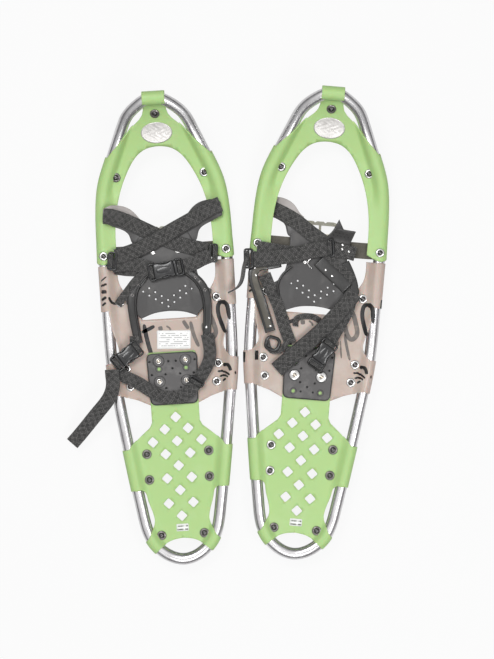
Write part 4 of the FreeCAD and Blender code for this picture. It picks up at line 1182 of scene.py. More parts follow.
@dataclass
class FrameAndDecks(Workshop):
    """The tube loop and the three sheet decks folded round it."""

    tab_half: float = 18.0
    hole_reach: float = 9.3
    hole_rows: tuple = ((0, -140), (19, -159), (39.5, -179), (0, -179), (20, -199.5), (0, -219), (20, -239),
                        (0, -259), (20, -280), (0, -301))

    def tube(self) -> None:
        """The bent tube: a circle carried round the centreline."""
        pick = TUBE.points[::2]
        a = np.linspace(0, 2 * math.pi, 28, endpoint=False)
        rings = pick[:, None] + TUBE_R * (TUBE.inward[::2][:, None] * np.cos(a)[None, :, None]
                                          + TUBE.up[::2][:, None] * np.sin(a)[None, :, None])
        along = np.linspace(0, 2.2, len(pick))
        uv = np.stack(np.broadcast_arrays(along[:, None], np.abs(a - math.pi)[None, :] * TUBE_R * MM), -1)
        self.piece("tube", skin(rings, uv, True), "drawn_aluminium", "tube", "frame", ["frame_tube"])

    def sheet(self, name: str, outline: Array, holes: Sequence[Array], fold: Fold, finish: str, slot: str,
              node: str, reach: float) -> None:
        """Cut a sheet, fold it round the tube and give it its thickness.

        Args:
            name: The piece's name.
            outline: The cut edge.
            holes: Closed lines left open.
            fold: How it goes round the tube.
            finish: The name of its finish.
            slot: Not used.
            node: The node that it stands for.
            reach: How far outside the tube's middle its points go.
        """
        low, high = outline[:, 1].min() - 2, min(372.0, outline[:, 1].max() + 2)
        flat = cut_sheet(outline, holes, sheet_fill(6.0, low, high, reach))
        folded = Surface(fold.place(flat.points[:, :2]), flat.faces, flat.uv)
        thickened(self.piece(name, folded, finish, slot, "frame", [node], closed=False), SHEET)

    def toe_deck(self) -> None:
        """The green toe deck: nose tab, crown over the toe opening, and two long arms."""
        fold = Fold(by_y={"radius": [(110, SLEEVE_R + SHEET * 1.5 + 0.25), (150, SLEEVE_R + SHEET / 2 + 0.3)],
                          "seam": [(114, 22.5), (200, 22.0), (240, 16.0), (290, 15.5), (330, 15.0)],
                          "lift": [(110, 7.5), (190, 6.5), (232, 0.8), (245, 0.0)],
                          "hug": [(110, 80.0), (190, 78.0), (240, 56.0)]})
        side = fold.side_length(184)
        full = fold.round_length() - 1.5
        nose_out = fold.round_length() * 0.94
        corner = TUBE.beside(286, 286, full, 1)[0]
        tab = [(0, 371.5 + nose_out), (13, 371.5 + nose_out), (self.tab_half, 371.5 + nose_out - 6),
               (self.tab_half, 361), (18.6, 354), (21, 347), (26, 341)]
        diagonal = [(46, 325), (74, 299), (83, 290), (88, 287.5)]
        wrap = TUBE.beside(284, 250, full, 8)
        arm = TUBE.beside(246, 124, side, 30)
        foot = np.concatenate([TUBE.beside(119, 119, side - 1.5, 1), TUBE.beside(114.5, 114.5, side - 8, 1)])
        foot = np.concatenate([foot, [(99, ARM_END - 0.6), (90, 117.0), (79.0, 122.6)]])
        inner = spline([(78.5, 122), (78.5, 160), (75, 197), (66, 233), (50, 267), (36, 286), (20, 296.5),
                        (0, 300)], 60)
        half = np.concatenate([tab, diagonal, corner[None], wrap, arm, foot, inner[1:-1]])
        outline = mirrored_loop(half)
        holes = [circle(x, y, RIVET_HOLE_R, 12) for x, y in TOE_RIVETS]
        self.sheet("toe_deck_sheet", outline, holes, fold, "green_deck", "green_deck", "toe_deck", full + 8)

    def mid_deck(self) -> None:
        """The tan middle deck: arms beside the toe opening, a tongue, and the heel's part."""
        fold = Fold(seam=MID_SEAM)
        full = fold.round_length() - 5
        arm = spline([(79.5, 112), (77, 80), (66, 60), (56, 38), (43, 21)], 30)
        arm_wrap = TUBE.beside(112, 40, full, 14)
        cutout = spline([(97.4, 37.5), (96, 26), (93, 8), (88, -12), (85, -26), (89, -38), (97.0, -46.5)], 40)
        low_wrap = TUBE.beside(-48, -99, full, 12)
        lower = [(88, -100), (60, -109), (39, -119)]
        half = np.concatenate([[(0, 21), (38, 21)], arm[::-1], arm_wrap, cutout, low_wrap, lower,
                               [(0, -119)]])
        holes = [circle(x, y, RIVET_HOLE_R, 12) for x, y in MID_RIVETS]
        self.sheet("mid_deck_sheet", mirrored_loop(half), holes, fold, "tan_deck", "tan_deck", "mid_deck",
                   full + 8)

    def tail_deck(self) -> None:
        """The green tail deck with its lattice of diamond holes and an arch over the tail."""
        fold = Fold(seam=19.0, lift=LAYER, under=0.2,
                    by_y={"seam": [(-345, 15.0), (-325, 15.0), (-300, 19.0)]})
        full = fold.round_length() - 2
        neck = [(0, -33), (37, -33), (39, -36), (39, -147), (43, -155), (72.5, -180), (78, -187.5)]
        top = TUBE.beside(-190, -252, full, 12)
        waist = spline([(62, -255.5), (57, -259), (53.5, -270), (49.5, -284), (45.5, -298), (44.5, -308),
                        (48, -320),
                        (56, -335)], 30)
        lobe = TUBE.beside(-340, -352.5, full, 8)
        arch = spline([(35, -350), (25, -343), (12, -338.5), (0, -337)], 16)
        half = np.concatenate([neck, top, waist, lobe, arch])
        square = np.array([(self.hole_reach, 0), (0, self.hole_reach), (-self.hole_reach, 0),
                           (0, -self.hole_reach)])
        holes = [circle(x, y, RIVET_HOLE_R, 12) for x, y in TAIL_RIVETS]
        for x, y in self.hole_rows:
            for sx in sorted({x, -x}):
                holes.append(resampled(rounded(square, 2.4) + [sx, y], 2.0))
        self.sheet("tail_deck_sheet", mirrored_loop(half), holes, fold, "green_deck", "green_deck",
                   "tail_deck",
                   full + 8)

    def build(self) -> None:
        """Make the tube and the decks."""
        self.tube()
        self.toe_deck()
        self.mid_deck()
        self.tail_deck()


@dataclass(frozen=True)
class Stroke:
    """A brush stroke printed on the tan deck: its line and its width along the line."""

    line: tuple
    width: float
    faded: bool = False
    taper: float = 0.25


STROKES = (
    Stroke(((90, -8), (84, 10), (80, 28), (85, 42), (92, 41), (97, 28), (98.5, 13)), 7.0),
    Stroke(((54, 10), (58, -8), (66, -16), (73, -10), (72, 6), (66, 24), (60, 36)), 7.5, True),
    Stroke(((-107, 88), (-98, 95)), 2.2), Stroke(((-108, 80), (-98, 83)), 3.6),
    Stroke(((-108, 71), (-99, 70)), 6.0), Stroke(((-108, 57), (-100, 62)), 4.4),
    Stroke(((-108, 48), (-101, 53)), 3.4), Stroke(((-96, 62), (-91, 52), (-83, 50)), 4.0),
    Stroke(((-46, 1), (-36, 5), (-25, 10)), 6.0), Stroke(((-42, 14), (-39, -8), (-32, -40)), 7.0),
    Stroke(((-16, 9), (-15, 2)), 7.0, True), Stroke(((-6, 9), (0, 4), (1, 1)), 3.0, True),
    Stroke(((22, 16), (30, 2)), 6.0, True), Stroke(((34, 14), (38, -8), (45, -28)), 6.0, True),
    Stroke(((83, -60), (90, -60), (95, -70)), 5.5, False, 0.6),
           Stroke(((73, -70), (84, -71), (93, -77)), 3.4),
    Stroke(((76, -79), (84, -77), (90, -80)), 3.0), Stroke(((81, -86), (86, -82)), 3.0),
    Stroke(((102, -72), (103, -76)), 3.0),
)
RIGHT_ONLY_STROKES = (
    Stroke(((-110, -50.5), (-110, -67)), 10.0, False, 0.95), Stroke(((112, 52), (112, 38)), 7.0, False, 0.8),
    Stroke(((54, -8), (59, -28), (66, -50)), 4.5, True), Stroke(((48, -20), (52, -48)), 2.5, True),
    Stroke(((-87, -47), (-86, -62)), 6.0, False, 0.8),
)


@dataclass
class DeckPrint(Workshop):
    """Abstract brush strokes printed on the tan deck."""

    proud: float = SHEET / 2 + 0.1

    def stroke(self, stroke: Stroke, fold: Fold) -> Surface:
        """A stroke as a thin band laid on the folded deck, narrowing at its two ends."""
        line = spline(stroke.line, 36)
        way = unit(np.gradient(line, axis=0))
        side = np.stack([-way[:, 1], way[:, 0]], 1)
        f = np.linspace(-1, 1, len(line))
        width = stroke.width * (stroke.taper + (1 - stroke.taper) * np.sqrt(np.clip(1 - np.abs(f) ** 6, 0,
                                                                                    1)))
        across = np.linspace(-0.5, 0.5, 9)
        plan = line[:, None] + side[:, None] * (across[None, :, None] * width[:, None, None])
        flat = plan.reshape(-1, 2)
        return Surface(fold.place(flat, self.proud), [grid_faces(len(line), len(across))], flat * MM)

    def build(self) -> None:
        """Print every stroke, black and faded, as two thin pieces."""
        fold = Fold(seam=MID_SEAM)
        strokes = STROKES + (RIGHT_ONLY_STROKES if self.place.side is Side.RIGHT else ())
        for name, faded in (("deck_print", False), ("deck_print_faded", True)):
            parts = [self.stroke(s, fold) for s in strokes if s.faded is faded]
            surface = joined(parts)
            piece = self.piece(name, surface, "faded_ink" if faded else "printed_ink", "tan_deck", "frame",
                               closed=False)
            thickened(piece, 0.08)


@dataclass
class Fasteners(Workshop):
    """Rivets, their washers, the badge and the labels."""

    def dome(self, radius: float, height: float, grip: float = 0.6) -> Surface:
        """A polished domed head: nearly round, with a shallow dimple on top and a short shank.

        Args:
            radius: Of the head.
            height: Of its crown.
            grip: Length of the shank below.

        Returns:
            The closed surface.
        """
        f = np.linspace(0.18, 1.0, 10)
        crown = np.stack([radius * f, height * np.sqrt(1 - (f * 0.985) ** 2.4)], 1).tolist()
        return lathe([(0.05, height * 0.9), (radius * 0.1, height * 0.91)] + crown
                     + [(radius, 0.0), (radius * 0.6, -0.1), (radius * 0.6, -grip), (0.05, -grip)], 30)

    def flange(self, outer: float, inner: float, height: float) -> Surface:
        """A washer or rolled flange: a ring whose top slopes down to a soft edge.

        Args:
            outer: Radius of its edge.
            inner: Radius of its hole.
            height: At its inner lip.

        Returns:
            The closed surface.
        """
        section = np.array([(inner, 0), (outer - 0.3, 0), (outer, 0.25), (outer - 0.25, height * 0.7),
                            (inner + 0.9, height), (inner + 0.3, height * 0.96), (inner, height * 0.7)])
        a = np.linspace(0, 2 * math.pi, 36, endpoint=False)
        rings = np.stack([np.cos(a)[:, None] * section[:, 0], np.sin(a)[:, None] * section[:, 0],
                          np.repeat(section[None, :, 1], len(a), 0)], -1)
        return skin(rings, rings[:, :, :2] * MM, True)

    def foot(self, depth: float) -> Surface:
        """A rivet's shank and flat foot under the deck."""
        return lathe([(0.05, 0.2), (2.3, 0.2), (2.3, -depth), (5.9, -depth - 0.1), (5.9, -depth - 0.8),
                      (0.05, -depth - 1.2)], 20)

    def rivets(self) -> None:
        """Every deck rivet: polished domes in dark or bright flanges; the bright finish on some toe and tail
        flanges is a painted reflection.
        """
        seam = SHEET + 0.02
        arm_top = SLEEVE_R + LAYER + SHEET + 0.3
        right = self.place.side is Side.RIGHT
        domes, dark, bright = [], [], []
        for x, y in TOE_RIVETS:
            domes.append(stood(self.dome(4.9, 3.6), x, y, seam + 0.4))
            # Toe flanges picked here get the bright finish as a painted reflection; the same flange elsewhere is
            # dark.
            pale = y < 300 and (right or x > 0)
            (bright if pale else dark).append(stood(self.flange(7.7, 4.4, 1.5), x, y, seam))
            dark.append(stood(self.foot(3.6), x, y, 0.6))
        for x, y in ARM_RIVETS:
            domes.append(stood(self.dome(4.6, 3.3), x, y, arm_top + 0.5))
            bright.append(stood(self.flange(7.2, 4.1, 1.2), x, y, arm_top))
        for x, y in MID_RIVETS:
            domes.append(stood(self.dome(4.5, 2.9), x, y, seam + 0.4))
            bright.append(stood(self.flange(7.4, 4.0, 1.1), x, y, seam - 0.1))
            dark.append(stood(self.foot(4.2), x, y, 0.6))
        for x, y in TAIL_RIVETS:
            domes.append(stood(self.dome(4.9, 3.6), x, y, seam + LAYER + 0.5))
            # Tail flanges picked here get the bright finish as a painted reflection; the same flange elsewhere is
            # dark.
            pale = right and x < 0 and y > -300
            (bright if pale else dark).append(stood(self.flange(7.7, 4.4, 1.5), x, y, seam + LAYER))
            dark.append(stood(self.foot(4.0), x, y, LAYER + 0.6))
        self.piece("domed_rivets", joined(domes), "gunmetal", "rivet", "frame", ["deck_rivets"])
        self.piece("dark_rivet_flanges", joined(dark), "dull_nickel", "rivet", "frame")
        self.piece("bright_rivet_flanges", joined(bright), "bright_zinc", "washer", "frame",
                   ["rivet_washers"])

    def badge(self) -> None:
        """The blank oval foil badge, its surface slightly crinkled."""
        a = np.linspace(0, 2 * math.pi, 72, endpoint=False)
        f = np.linspace(0.02, 1, 14)
        x = 25.2 * f[:, None] * np.cos(a)
        y = BADGE_Y + 15.8 * f[:, None] * np.sin(a)
        crinkle = 0.12 * np.sin(x * 0.55 + np.sin(y * 0.4) * 2) * np.sin(y * 0.5 + x * 0.13) * (1 - f[:, None] ** 6)
        flat = np.stack([x.ravel(), y.ravel()], 1)
        points = deck_points(flat, SHEET / 2 + 0.55) + deck_normal(flat[:, 1]) * crinkle.ravel()[:, None]
        middle = deck_points([(0, BADGE_Y)], SHEET / 2 + 0.55)
        here = np.arange(72)
        fan = np.stack([np.full(72, len(points)), here, (here + 1) % 72], 1)
        surface = Surface(np.concatenate([points, middle]), [grid_faces(14, 72, False, True), fan],
                          np.concatenate([flat, [[0, BADGE_Y]]]) * MM)
        thickened(self.piece("oval_badge", surface, "badge_foil", "badge", "frame", ["toe_badge"],
                             closed=False), 0.5)

    def label(self, name: str, node: str, x: float, y: float, width: float, depth: float, turn: float,
              up: float, finish: str) -> None:
        """A thin rounded label laid on the deck.

        Args:
            name: The piece's name.
            node: The node that it stands for.
            x: Its middle across the shoe.
            y: Its middle along the shoe.
            width: Across.
            depth: Along.
            turn: Degrees anticlockwise.
            up: Height over the deck.
            finish: The name of its finish.
        """
        outline = rounded([(-width / 2, -depth / 2), (width / 2, -depth / 2), (width / 2, depth / 2),
                           (-width / 2, depth / 2)], 2.0)
        gx, gy = np.meshgrid(np.arange(-width / 2, width / 2, 4), np.arange(-depth / 2, depth / 2, 4))
        flat = cut_sheet(outline, [], np.stack([gx.ravel(), gy.ravel()], 1))
        uv = flat.points[:, :2] / [width, depth] + 0.5
        c, s = math.cos(math.radians(turn)), math.sin(math.radians(turn))
        plan = flat.points[:, :2] @ np.array([[c, s], [-s, c]]) + [x, y]
        surface = Surface(deck_points(plan, up), flat.faces, uv)
        thickened(self.piece(name, surface, finish, "label", "frame", [node], closed=False), 0.25)

    def build(self) -> None:
        """Make the fasteners, the badge and the labels."""
        self.rivets()
        self.badge()
        self.label("size_mark", "size_label", 0, -320, 20, 12, 0, LAYER + SHEET / 2 + 0.2, "size_label_print")
        if self.place.side is Side.LEFT:
            self.label("blank_label", "deck_label", 5, -14, 55, 30, -3, SHEET / 2 + 0.2, "printed_label")


@dataclass
class HeelStation(Workshop):
    """The moulded heel plate, its rivets and the crampon under it."""

    low: float = LAYER + SHEET / 2 + 0.05
    thickness: float = 2.4

    def plate(self) -> None:
        """The plate: bosses round the rivets, see-through holes, small dimples and a low rim."""
        outline = rounded([(-38.5, -119), (38.5, -119), (41.5, -35), (-41.5, -35)], 9.5)
        through = [circle(x, y, 3.0) for x, y in HEEL_HOLES]
        holes = through + [circle(x, y, 2.6, 14) for x, y in HEEL_RIVETS]
        gx, gy = np.meshgrid(np.arange(-42, 42, 1.25), np.arange(-120, -33, 1.25))
        flat = cut_sheet(outline, holes, np.stack([gx.ravel(), gy.ravel()], 1), 1.3)
        xy = flat.points[:, :2]
        height = np.zeros(len(xy))
        for x, y in HEEL_RIVETS:
            gap = np.linalg.norm(xy - [x, y], axis=1)
            height += 0.8 / (1 + np.exp((gap - 8.8) * 3))
        for x, y in HEEL_HOLES:
            gap = np.linalg.norm(xy - [x, y], axis=1)
            height += 0.35 * np.exp(-((gap - 6.5) / 1.0) ** 2)
        dimples = [(37, -48), (6, -48.5), (34, -69.5), (12, -69.5), (12, -92)]
        for x, y in [(a * s, b) for a, b in dimples for s in (1, -1)] + [(0, -60.5), (0, -99)]:
            gap = np.linalg.norm(xy - [x, y], axis=1)
            height -= 1.5 / (1 + np.exp((gap - 1.6) * 6))
        rim = np.linalg.norm(xy[:, None] - resampled(outline, 2.0)[None], axis=2).min(1)
        height -= 0.8 * np.exp(-(rim / 0.9) ** 2)
        top = self.low + self.thickness + height
        points = deck_points(xy)
        points[:, 2] += top
        skirt = points.copy()
        skirt[:, 2] = DECK_Z + self.low
        tris = flat.faces[0]
        n = len(points)
        edges = np.sort(np.concatenate([tris[:, [0, 1]], tris[:, [1, 2]], tris[:, [2, 0]]]), axis=1)
        kinds, counts = np.unique(edges, axis=0, return_counts=True)
        border = kinds[counts == 1]
        wall = np.column_stack([border[:, 0], border[:, 1], border[:, 1] + n, border[:, 0] + n])
        surface = Surface(np.concatenate([points, skirt]), [tris, tris[:, ::-1] + n, wall],
                          np.concatenate([xy, xy]) * MM)
        self.piece("heel_plate_moulding", surface, "heel_plate_polymer", "heel_plate", "frame",
                   ["heel_plate"])

    def rivets(self) -> None:
        """The four bright rivets, the rear pair of the right shoe on broad bright washers."""
        tools = Fasteners(self.place, self.finishes)
        top = self.low + self.thickness + 0.85
        parts = [stood(tools.dome(3.4, 2.4, top - 1), x, y, top + 0.3) for x, y in HEEL_RIVETS]
        self.piece("heel_plate_rivets", joined(parts), "worn_brass_steel", "heel_rivet", "frame",
                   ["heel_rivets"])
        wide = 8.6 if self.place.side is Side.RIGHT else 0
        rings = [stood(tools.flange(max(4.6, wide * (y < -60)), 3.2, 0.9), x, y, top) for x, y in HEEL_RIVETS]
        self.piece("heel_plate_washers", joined(rings), "bright_zinc", "heel_rivet", "frame")

    def details(self) -> None:
        """Raised rings round the rivets and holes, a lip round the plate, and near-black cups in its blind dimples
        as painted shade.
        """
        top = self.low + self.thickness
        lip = rounded([(-38.0, -118.4), (38.0, -118.4), (40.9, -35.6), (-40.9, -35.6)], 9.5)
        parts = [round_bar(np.column_stack([lip, np.full(len(lip), DECK_Z + top - 0.1)]), 0.95, True)]
        centres = [(x, y, 9.0, 0.8) for x, y in HEEL_RIVETS]
        centres += [(x, y, 5.2, 0.1) for x, y in HEEL_HOLES]
        for x, y, r, up in centres:
            ring = circle(x, y, r, 36)
            parts.append(round_bar(np.column_stack([ring, np.full(36, DECK_Z + top + up - 0.1)]), 0.5, True))
        self.piece("heel_plate_ribs", joined(parts), "ridge_polyurethane", "heel_plate", "frame")
        # Near-black cups in the dimples: painted shade where the hollows fall dark.
        dots = [(37, -48), (6, -48.5), (34, -69.5), (12, -69.5), (12, -92), (10, -107)]
        places = [(a * k, b) for a, b in dots for k in (1, -1)] + [(0, -60.5), (0, -99)]
        cup = [(0.05, 0.12), (1.5, 0.12), (1.75, 0.0), (1.75, -0.4), (0.05, -0.4)]
        pits = [stood(lathe(cup, 14), x, y, top + 0.05) for x, y in places]
        self.piece("heel_plate_dimples", joined(pits), "deep_black", "heel_plate", "frame")

    def build(self) -> None:
        """Make the plate and its rivets, and dress the crampon."""
        self.plate()
        self.details()
        self.rivets()
        self.dress("heel_crampon", "crampon_steel")


@dataclass
class PivotStrap(Workshop):
    """The webbing that carries the binding and twists as the heel lifts."""

    half_width: float = 13.0

    def half(self, sign: int) -> Surface:
        """One half: round the tube, in under the deck arm, and across to the middle."""
        radius = SLEEVE_R + 0.55
        x0 = 99.6
        turn = np.linspace(-2.45, 2.2, 26)
        xs = x0 + radius * np.cos(turn)
        zs = radius * np.sin(turn)
        run_x = np.array([84.0, 78.0, 70.0, 60.0, 45.0, 30.0, 15.0, 0.0])
        run_z = np.array([4.6, 2.0, 0.5, 0, 0, 0, 0, 0])
        xs = np.concatenate([xs, run_x])
        zs = np.concatenate([zs, run_z])
        left = np.column_stack([sign * xs, np.full(len(xs), PIVOT_Y - self.half_width), zs])
        right = left + [0, 2 * self.half_width, 0]
        return band(left, right, 1.1, 120)

    def build(self) -> None:
        """Make both halves, each from the frame to the binding."""
        nodes = {1: ["pivot_strap_ends", "pivot_strap_centre"], -1: []}
        for sign, name in ((1, "pivot_webbing_plus"), (-1, "pivot_webbing_minus")):
            self.bent(name, self.half(sign), "pivot_webbing", "pivot_webbing", ("frame", "binding"),
                      (sign * 80, PIVOT_Y, DECK_Z), (sign * 46, PIVOT_Y, DECK_Z), nodes[sign])


@dataclass
class Harness(Workshop):
    """The flexible moulding under the boot: sole, toe flaps and heel arms."""

    hinge_front: tuple = (30.0, 178.0)
    hinge_rear: tuple = (50.0, 144.0)
    flap_pairs: tuple = (((27.8, 176.6, 3.6), (47.8, 142.7, 3.6)), ((30.6, 178.4, 3.5), (50.6, 144.4, 3.5)),
                         ((45, 195, 4.8), (57, 160, 4.8)),
                         ((60, 206, 8.5), (69, 170, 8.5)), ((73, 209, 13.2), (79, 174, 13.2)),
                         ((83, 209, 17.7), (88, 178, 17.7)), ((95, 204, 17.7), (97, 182, 17.7)))

    def sole(self) -> None:
        """The perforated sole, dished up along its sides behind the pivot."""
        lead = spline([(0, 145), (12, 149), (22, 161), (29.5, 177.3)], 10)
        side = spline([(48.0, 143.4), (47.5, 125), (50, 95), (58, 74), (72, 64)], 20)
        arch = spline([(45, 23), (24, 30.5), (0, 33)], 12)
        half = np.concatenate([lead, side, [(66, 46)], arch])
        dots = [(0, 40.5), (0, 51.0), (10, 47), (10, 58), (20, 53.5), (20, 65), (30, 60), (29.5, 72),
                (39.5, 67)]
        holes = [circle(x * k, y, 1.5, 12) for x, y in dots for k in ((1, -1) if x else (1,))]
        holes += [circle(x, y, RIVET_HOLE_R, 12) for x, y in SOLE_RIVETS]
        gx, gy = np.meshgrid(np.arange(-74, 74, 2.6), np.arange(20, 180, 2.6))
        flat = cut_sheet(mirrored_loop(half), holes, np.stack([gx.ravel(), gy.ravel()], 1))
        xy = flat.points[:, :2]
        points = deck_points(xy)
        dish = 3.2 * np.clip((np.abs(xy[:, 0]) - 30) / 40, 0, 1) ** 2 * np.clip((100 - xy[:, 1]) / 30, 0, 1)
        rim = 1.6 * np.clip((np.abs(xy[:, 0]) - 34) / 8, 0, 1) * np.clip((xy[:, 1] - 30) / 30, 0, 1) \
            * np.clip((112 - xy[:, 1]) / 20, 0, 1)
        points[:, 2] = DECK_Z + (SOLE_LOW + SOLE_TOP) / 2 + dish + rim
        surface = Surface(points, flat.faces, flat.uv)
        thickened(self.piece("sole_moulding", surface, "harness_polyurethane", "harness", "binding",
                             ["binding_sole"], closed=False), 3.2)

    def rim(self, routes: Sequence) -> None:
        """Tall dark ridges that stand along the sole's sides and run back as the arms."""
        parts = [band(np.array(r), np.array(r) + [lean, 0, 6.5], 3.4, 70) for r, lean in routes]
        self.piece("sole_ridges", joined(parts), "ridge_polyurethane", "harness", "binding")

    def flap_band(self, pairs: Sequence, mirror: bool) -> Surface:
        """A toe flap between the two edges that its pairs give."""
        p = np.array(pairs, float)
        if mirror:
            p = p * [-1, 1, 1]
        return band(p[:, 0], p[:, 1], 2.6, 48, 0.3)

    def flap_lip(self, pairs: Sequence, mirror: bool) -> Surface:
        """The paler moulded lip along a flap's front edge."""
        p = np.array(pairs, float)
        if mirror:
            p = p * [-1, 1, 1]
        inward = p[:, 0] + (p[:, 1] - p[:, 0]) * 0.36
        lifted = np.array([0, 0, 1.0])
        return band(p[:, 0] + lifted, inward + lifted, 1.3, 48, 0.1)

    def left_parts(self) -> None:
        """The left shoe's splayed flaps and its heel arms."""
        outer = self.flap_band(self.flap_pairs, True)
        inner = self.flap_band(self.flap_pairs, False)
        hinge = ((40, 161, DECK_Z + 3.5), (48, 166, DECK_Z + 3.5))
        for sign, name, surface, body, node in (
                (1, "inner_flap_moulding", inner, "inner_flap", "inner_toe_flap"),
                (-1, "outer_flap_moulding", outer, "outer_flap", "outer_toe_flap")):
            start, end = ([sign * p[0], p[1], p[2]] for p in hinge)
            self.bent(name, surface, "harness_polyurethane", "harness", ("binding", body), start, end, [node])
        start, end = ([-p[0], p[1], p[2]] for p in hinge)
        self.bent("outer_flap_lip", self.flap_lip(self.flap_pairs, True), "flap_edge_polyurethane", "harness",
                  ("binding", "outer_flap"), start, end)
        inner = [(32, 96, 7.6), (46, 85, 8.4), (60, 66, 9), (64, 42, 8.8), (62, 12, 7.6), (58, -18, 7.4)]
        outer = [(-36, 92, 7.4), (-48, 78, 8.4), (-58, 60, 9), (-59, 38, 8.8), (-56, 10, 7.6),
                 (-52, -16, 7.4)]
        arms = [ribbon(inner, 13, 3.0, 0.7), ribbon(outer, 14, 3.0, 0.7)]
        self.piece("heel_arm_mouldings", joined(arms), "ridge_polyurethane", "harness", "binding",
                   ["heel_arms"])
        high = [(30, 92, 6.0), (43, 80, 6.0), (53, 62, 6.2), (57, 40, 6.0), (56, 16, 5.0), (54, -6, 4.5)]
        low = [(-30, 92, 6.0), (-42, 79, 6.0), (-50, 60, 6.2), (-52.5, 38, 6.0), (-50, 14, 5.0),
               (-48, -8, 4.5)]
        self.rim([(high, 1.5), (low, -1.5)])
        self.eyelets([(47, 84.5, 9.9), (54, 76.5, 10.2), (61, 63.5, 10.6), (-47, 80, 10.0), (-57, 62, 10.4)])
        self.studs([(37, 95, 9.6), (59.5, 3, 9.4), (58, -11, 9.4)])
        below = [(-30, 97, 9.8), (-47, 88, 10.6), (-62, 72, 11), (-76, 56, 7), (-82, 48, 4)]
        self.piece("loose_strap_below", ribbon(below, 13, 1.8), "strap_webbing", "webbing", "binding")

    def right_parts(self) -> None:
        """The right shoe's tucked and raised flaps, its two heel arms and the side tab."""
        tucked = [((-27.8, 176.6, 3.6), (-47.8, 142.7, 3.6)), ((-30.6, 178.4, 3.5), (-50.6, 144.4, 3.5)),
                  ((-45, 195, 1.5), (-57, 160, 1.5)),
                  ((-60, 204, -2.5), (-69, 170, -2.5)), ((-73, 206, -7.5), (-77, 174, -7.5)),
                  ((-84.5, 202, -10.5), (-85.5, 178, -10.5))]
        self.piece("inner_flap_moulding", self.flap_band(tucked, False), "harness_polyurethane", "harness",
                   "binding", ["inner_toe_flap"])
        self.piece("inner_flap_lip", self.flap_lip(tucked, False), "flap_edge_polyurethane", "harness",
                   "binding")
        raised = [((8, 140, 6.4), (50, 137, 6.4)), ((13, 147, 10), (52, 143, 10)),
                  ((19, 153, 16), (54, 149, 16)),
                  ((22.5, 158, 24), (55.5, 154, 24)), ((25, 160, 30), (56.5, 157, 30))]
        self.bent("outer_flap_moulding", self.flap_band(raised, False), "harness_polyurethane", "harness",
                  ("binding", "outer_flap"), (32, 141, DECK_Z + 7), (38, 153, DECK_Z + 20),
                  ["outer_toe_flap"])
        # Near-black cups on the raised flap: painted shade in its perforations.
        cup = [(0.05, 0.1), (0.8, 0.1), (0.95, 0.0), (0.95, -0.3), (0.05, -0.3)]
        dots = [lathe(cup, 10).moved(lambda p, at=(22 + 6 * i + 3 * (j % 2), 150.5 + 4.2 * j - 0.5 * i,
                                                   DECK_Z + 16.6 + 5.6 * j): p + np.array(at))
                for i in range(5) for j in range(2)]
        self.piece("flap_perforations", joined(dots), "deep_black", "harness", "outer_flap")
        outer = [(-60, 100, 7.6), (-82, 94, 12.5), (-101, 84, 15), (-95, 53, 15), (-80, 18, 9),
                 (-67, -14, 7.4)]
        inner = [(44, 108, 8.2), (55, 88, 8.2), (63, 62, 8.8), (56, 30, 8.6), (43, 2, 7.6), (33, -16, 7.4)]
        arms = [ribbon(outer, 17, 3.0, 0.6), ribbon(inner, 15, 3.0, 0.5)]
        self.piece("heel_arm_mouldings", joined(arms), "ridge_polyurethane", "harness", "binding",
                   ["heel_arms"])
        inlay = [(-83, 92.5, 14.6), (-99, 82, 17), (-93.5, 53, 17), (-80, 20, 11.2), (-69, -8, 9.6)]
        self.piece("heel_arm_inlay", ribbon(inlay, 9.5, 1.2, 0.3), "olive_inlay", "harness", "binding")
        high = [(34, 104, 6.0), (47, 88, 6.4), (54, 64, 6.4), (49, 36, 6.2), (38, 10, 5.4)]
        low = [(-40, 94, 6.0), (-54, 80, 6.2), (-60, 64, 6.4), (-57, 46, 6.2)]
        self.rim([(high, 1.5), (low, -1.5)])
        tab = [(2, 108, 9.5), (18, 94, 11), (36, 80, 12), (52, 66, 13)]
        self.piece("side_tab", ribbon(tab, 22, 2.6, 0.6), "ridge_polyurethane", "harness", "binding")
        sling = [(12, 118, 9.8), (28, 106, 11.5), (46, 92, 13.5), (60, 80, 14.5)]
        self.piece("side_tab_strap", ribbon(sling, 13, 2.0), "strap_webbing", "webbing", "binding")
        wire = spline([(4, 118, DECK_Z + 9), (-14, 107, DECK_Z + 11), (-16, 103, DECK_Z + 11),
                       (-8, 94, DECK_Z + 10)], 30)
        self.piece("side_tab_wire", round_bar(wire, 0.8), "bright_zinc", "washer", "binding")
        self.eyelets([(-99, 74, 17.2), (-96, 60, 17.2), (60, 72, 9.2)])
        self.studs([(14, 93, 13.0), (25, 84, 13.8), (-101, 87, 17.2), (-98, 75, 17.2), (-71, 8, 10.0),
                    (-68, -5, 9.4), (38, 136, 11.6), (38, 129, 11.6), (49, 126, 11.4)])

    def eyelets(self, places: Sequence) -> None:
        """Small bright eyelets in the heel arms."""
        tools = Fasteners(self.place, self.finishes)
        parts = [tools.flange(2.9, 1.3, 0.8).moved(lambda p, at=(x, y, DECK_Z + z): p + np.array(at))
                 for x, y, z in places]
        self.piece("arm_eyelets", joined(parts), "dull_nickel", "rivet", "binding")

    def studs(self, places: Sequence) -> None:
        """Small bright rivet heads on the harness."""
        head = lathe([(0.05, 1.5), (0.9, 1.45), (1.9, 1.1), (2.5, 0.4), (2.6, -0.3), (1.5, -1.0),
                      (0.05, -1.0)], 18)
        parts = [head.moved(lambda p, at=(x, y, DECK_Z + z): p + np.array(at)) for x, y, z in places]
        self.piece("arm_rivets", joined(parts), "bright_zinc", "heel_rivet", "binding")

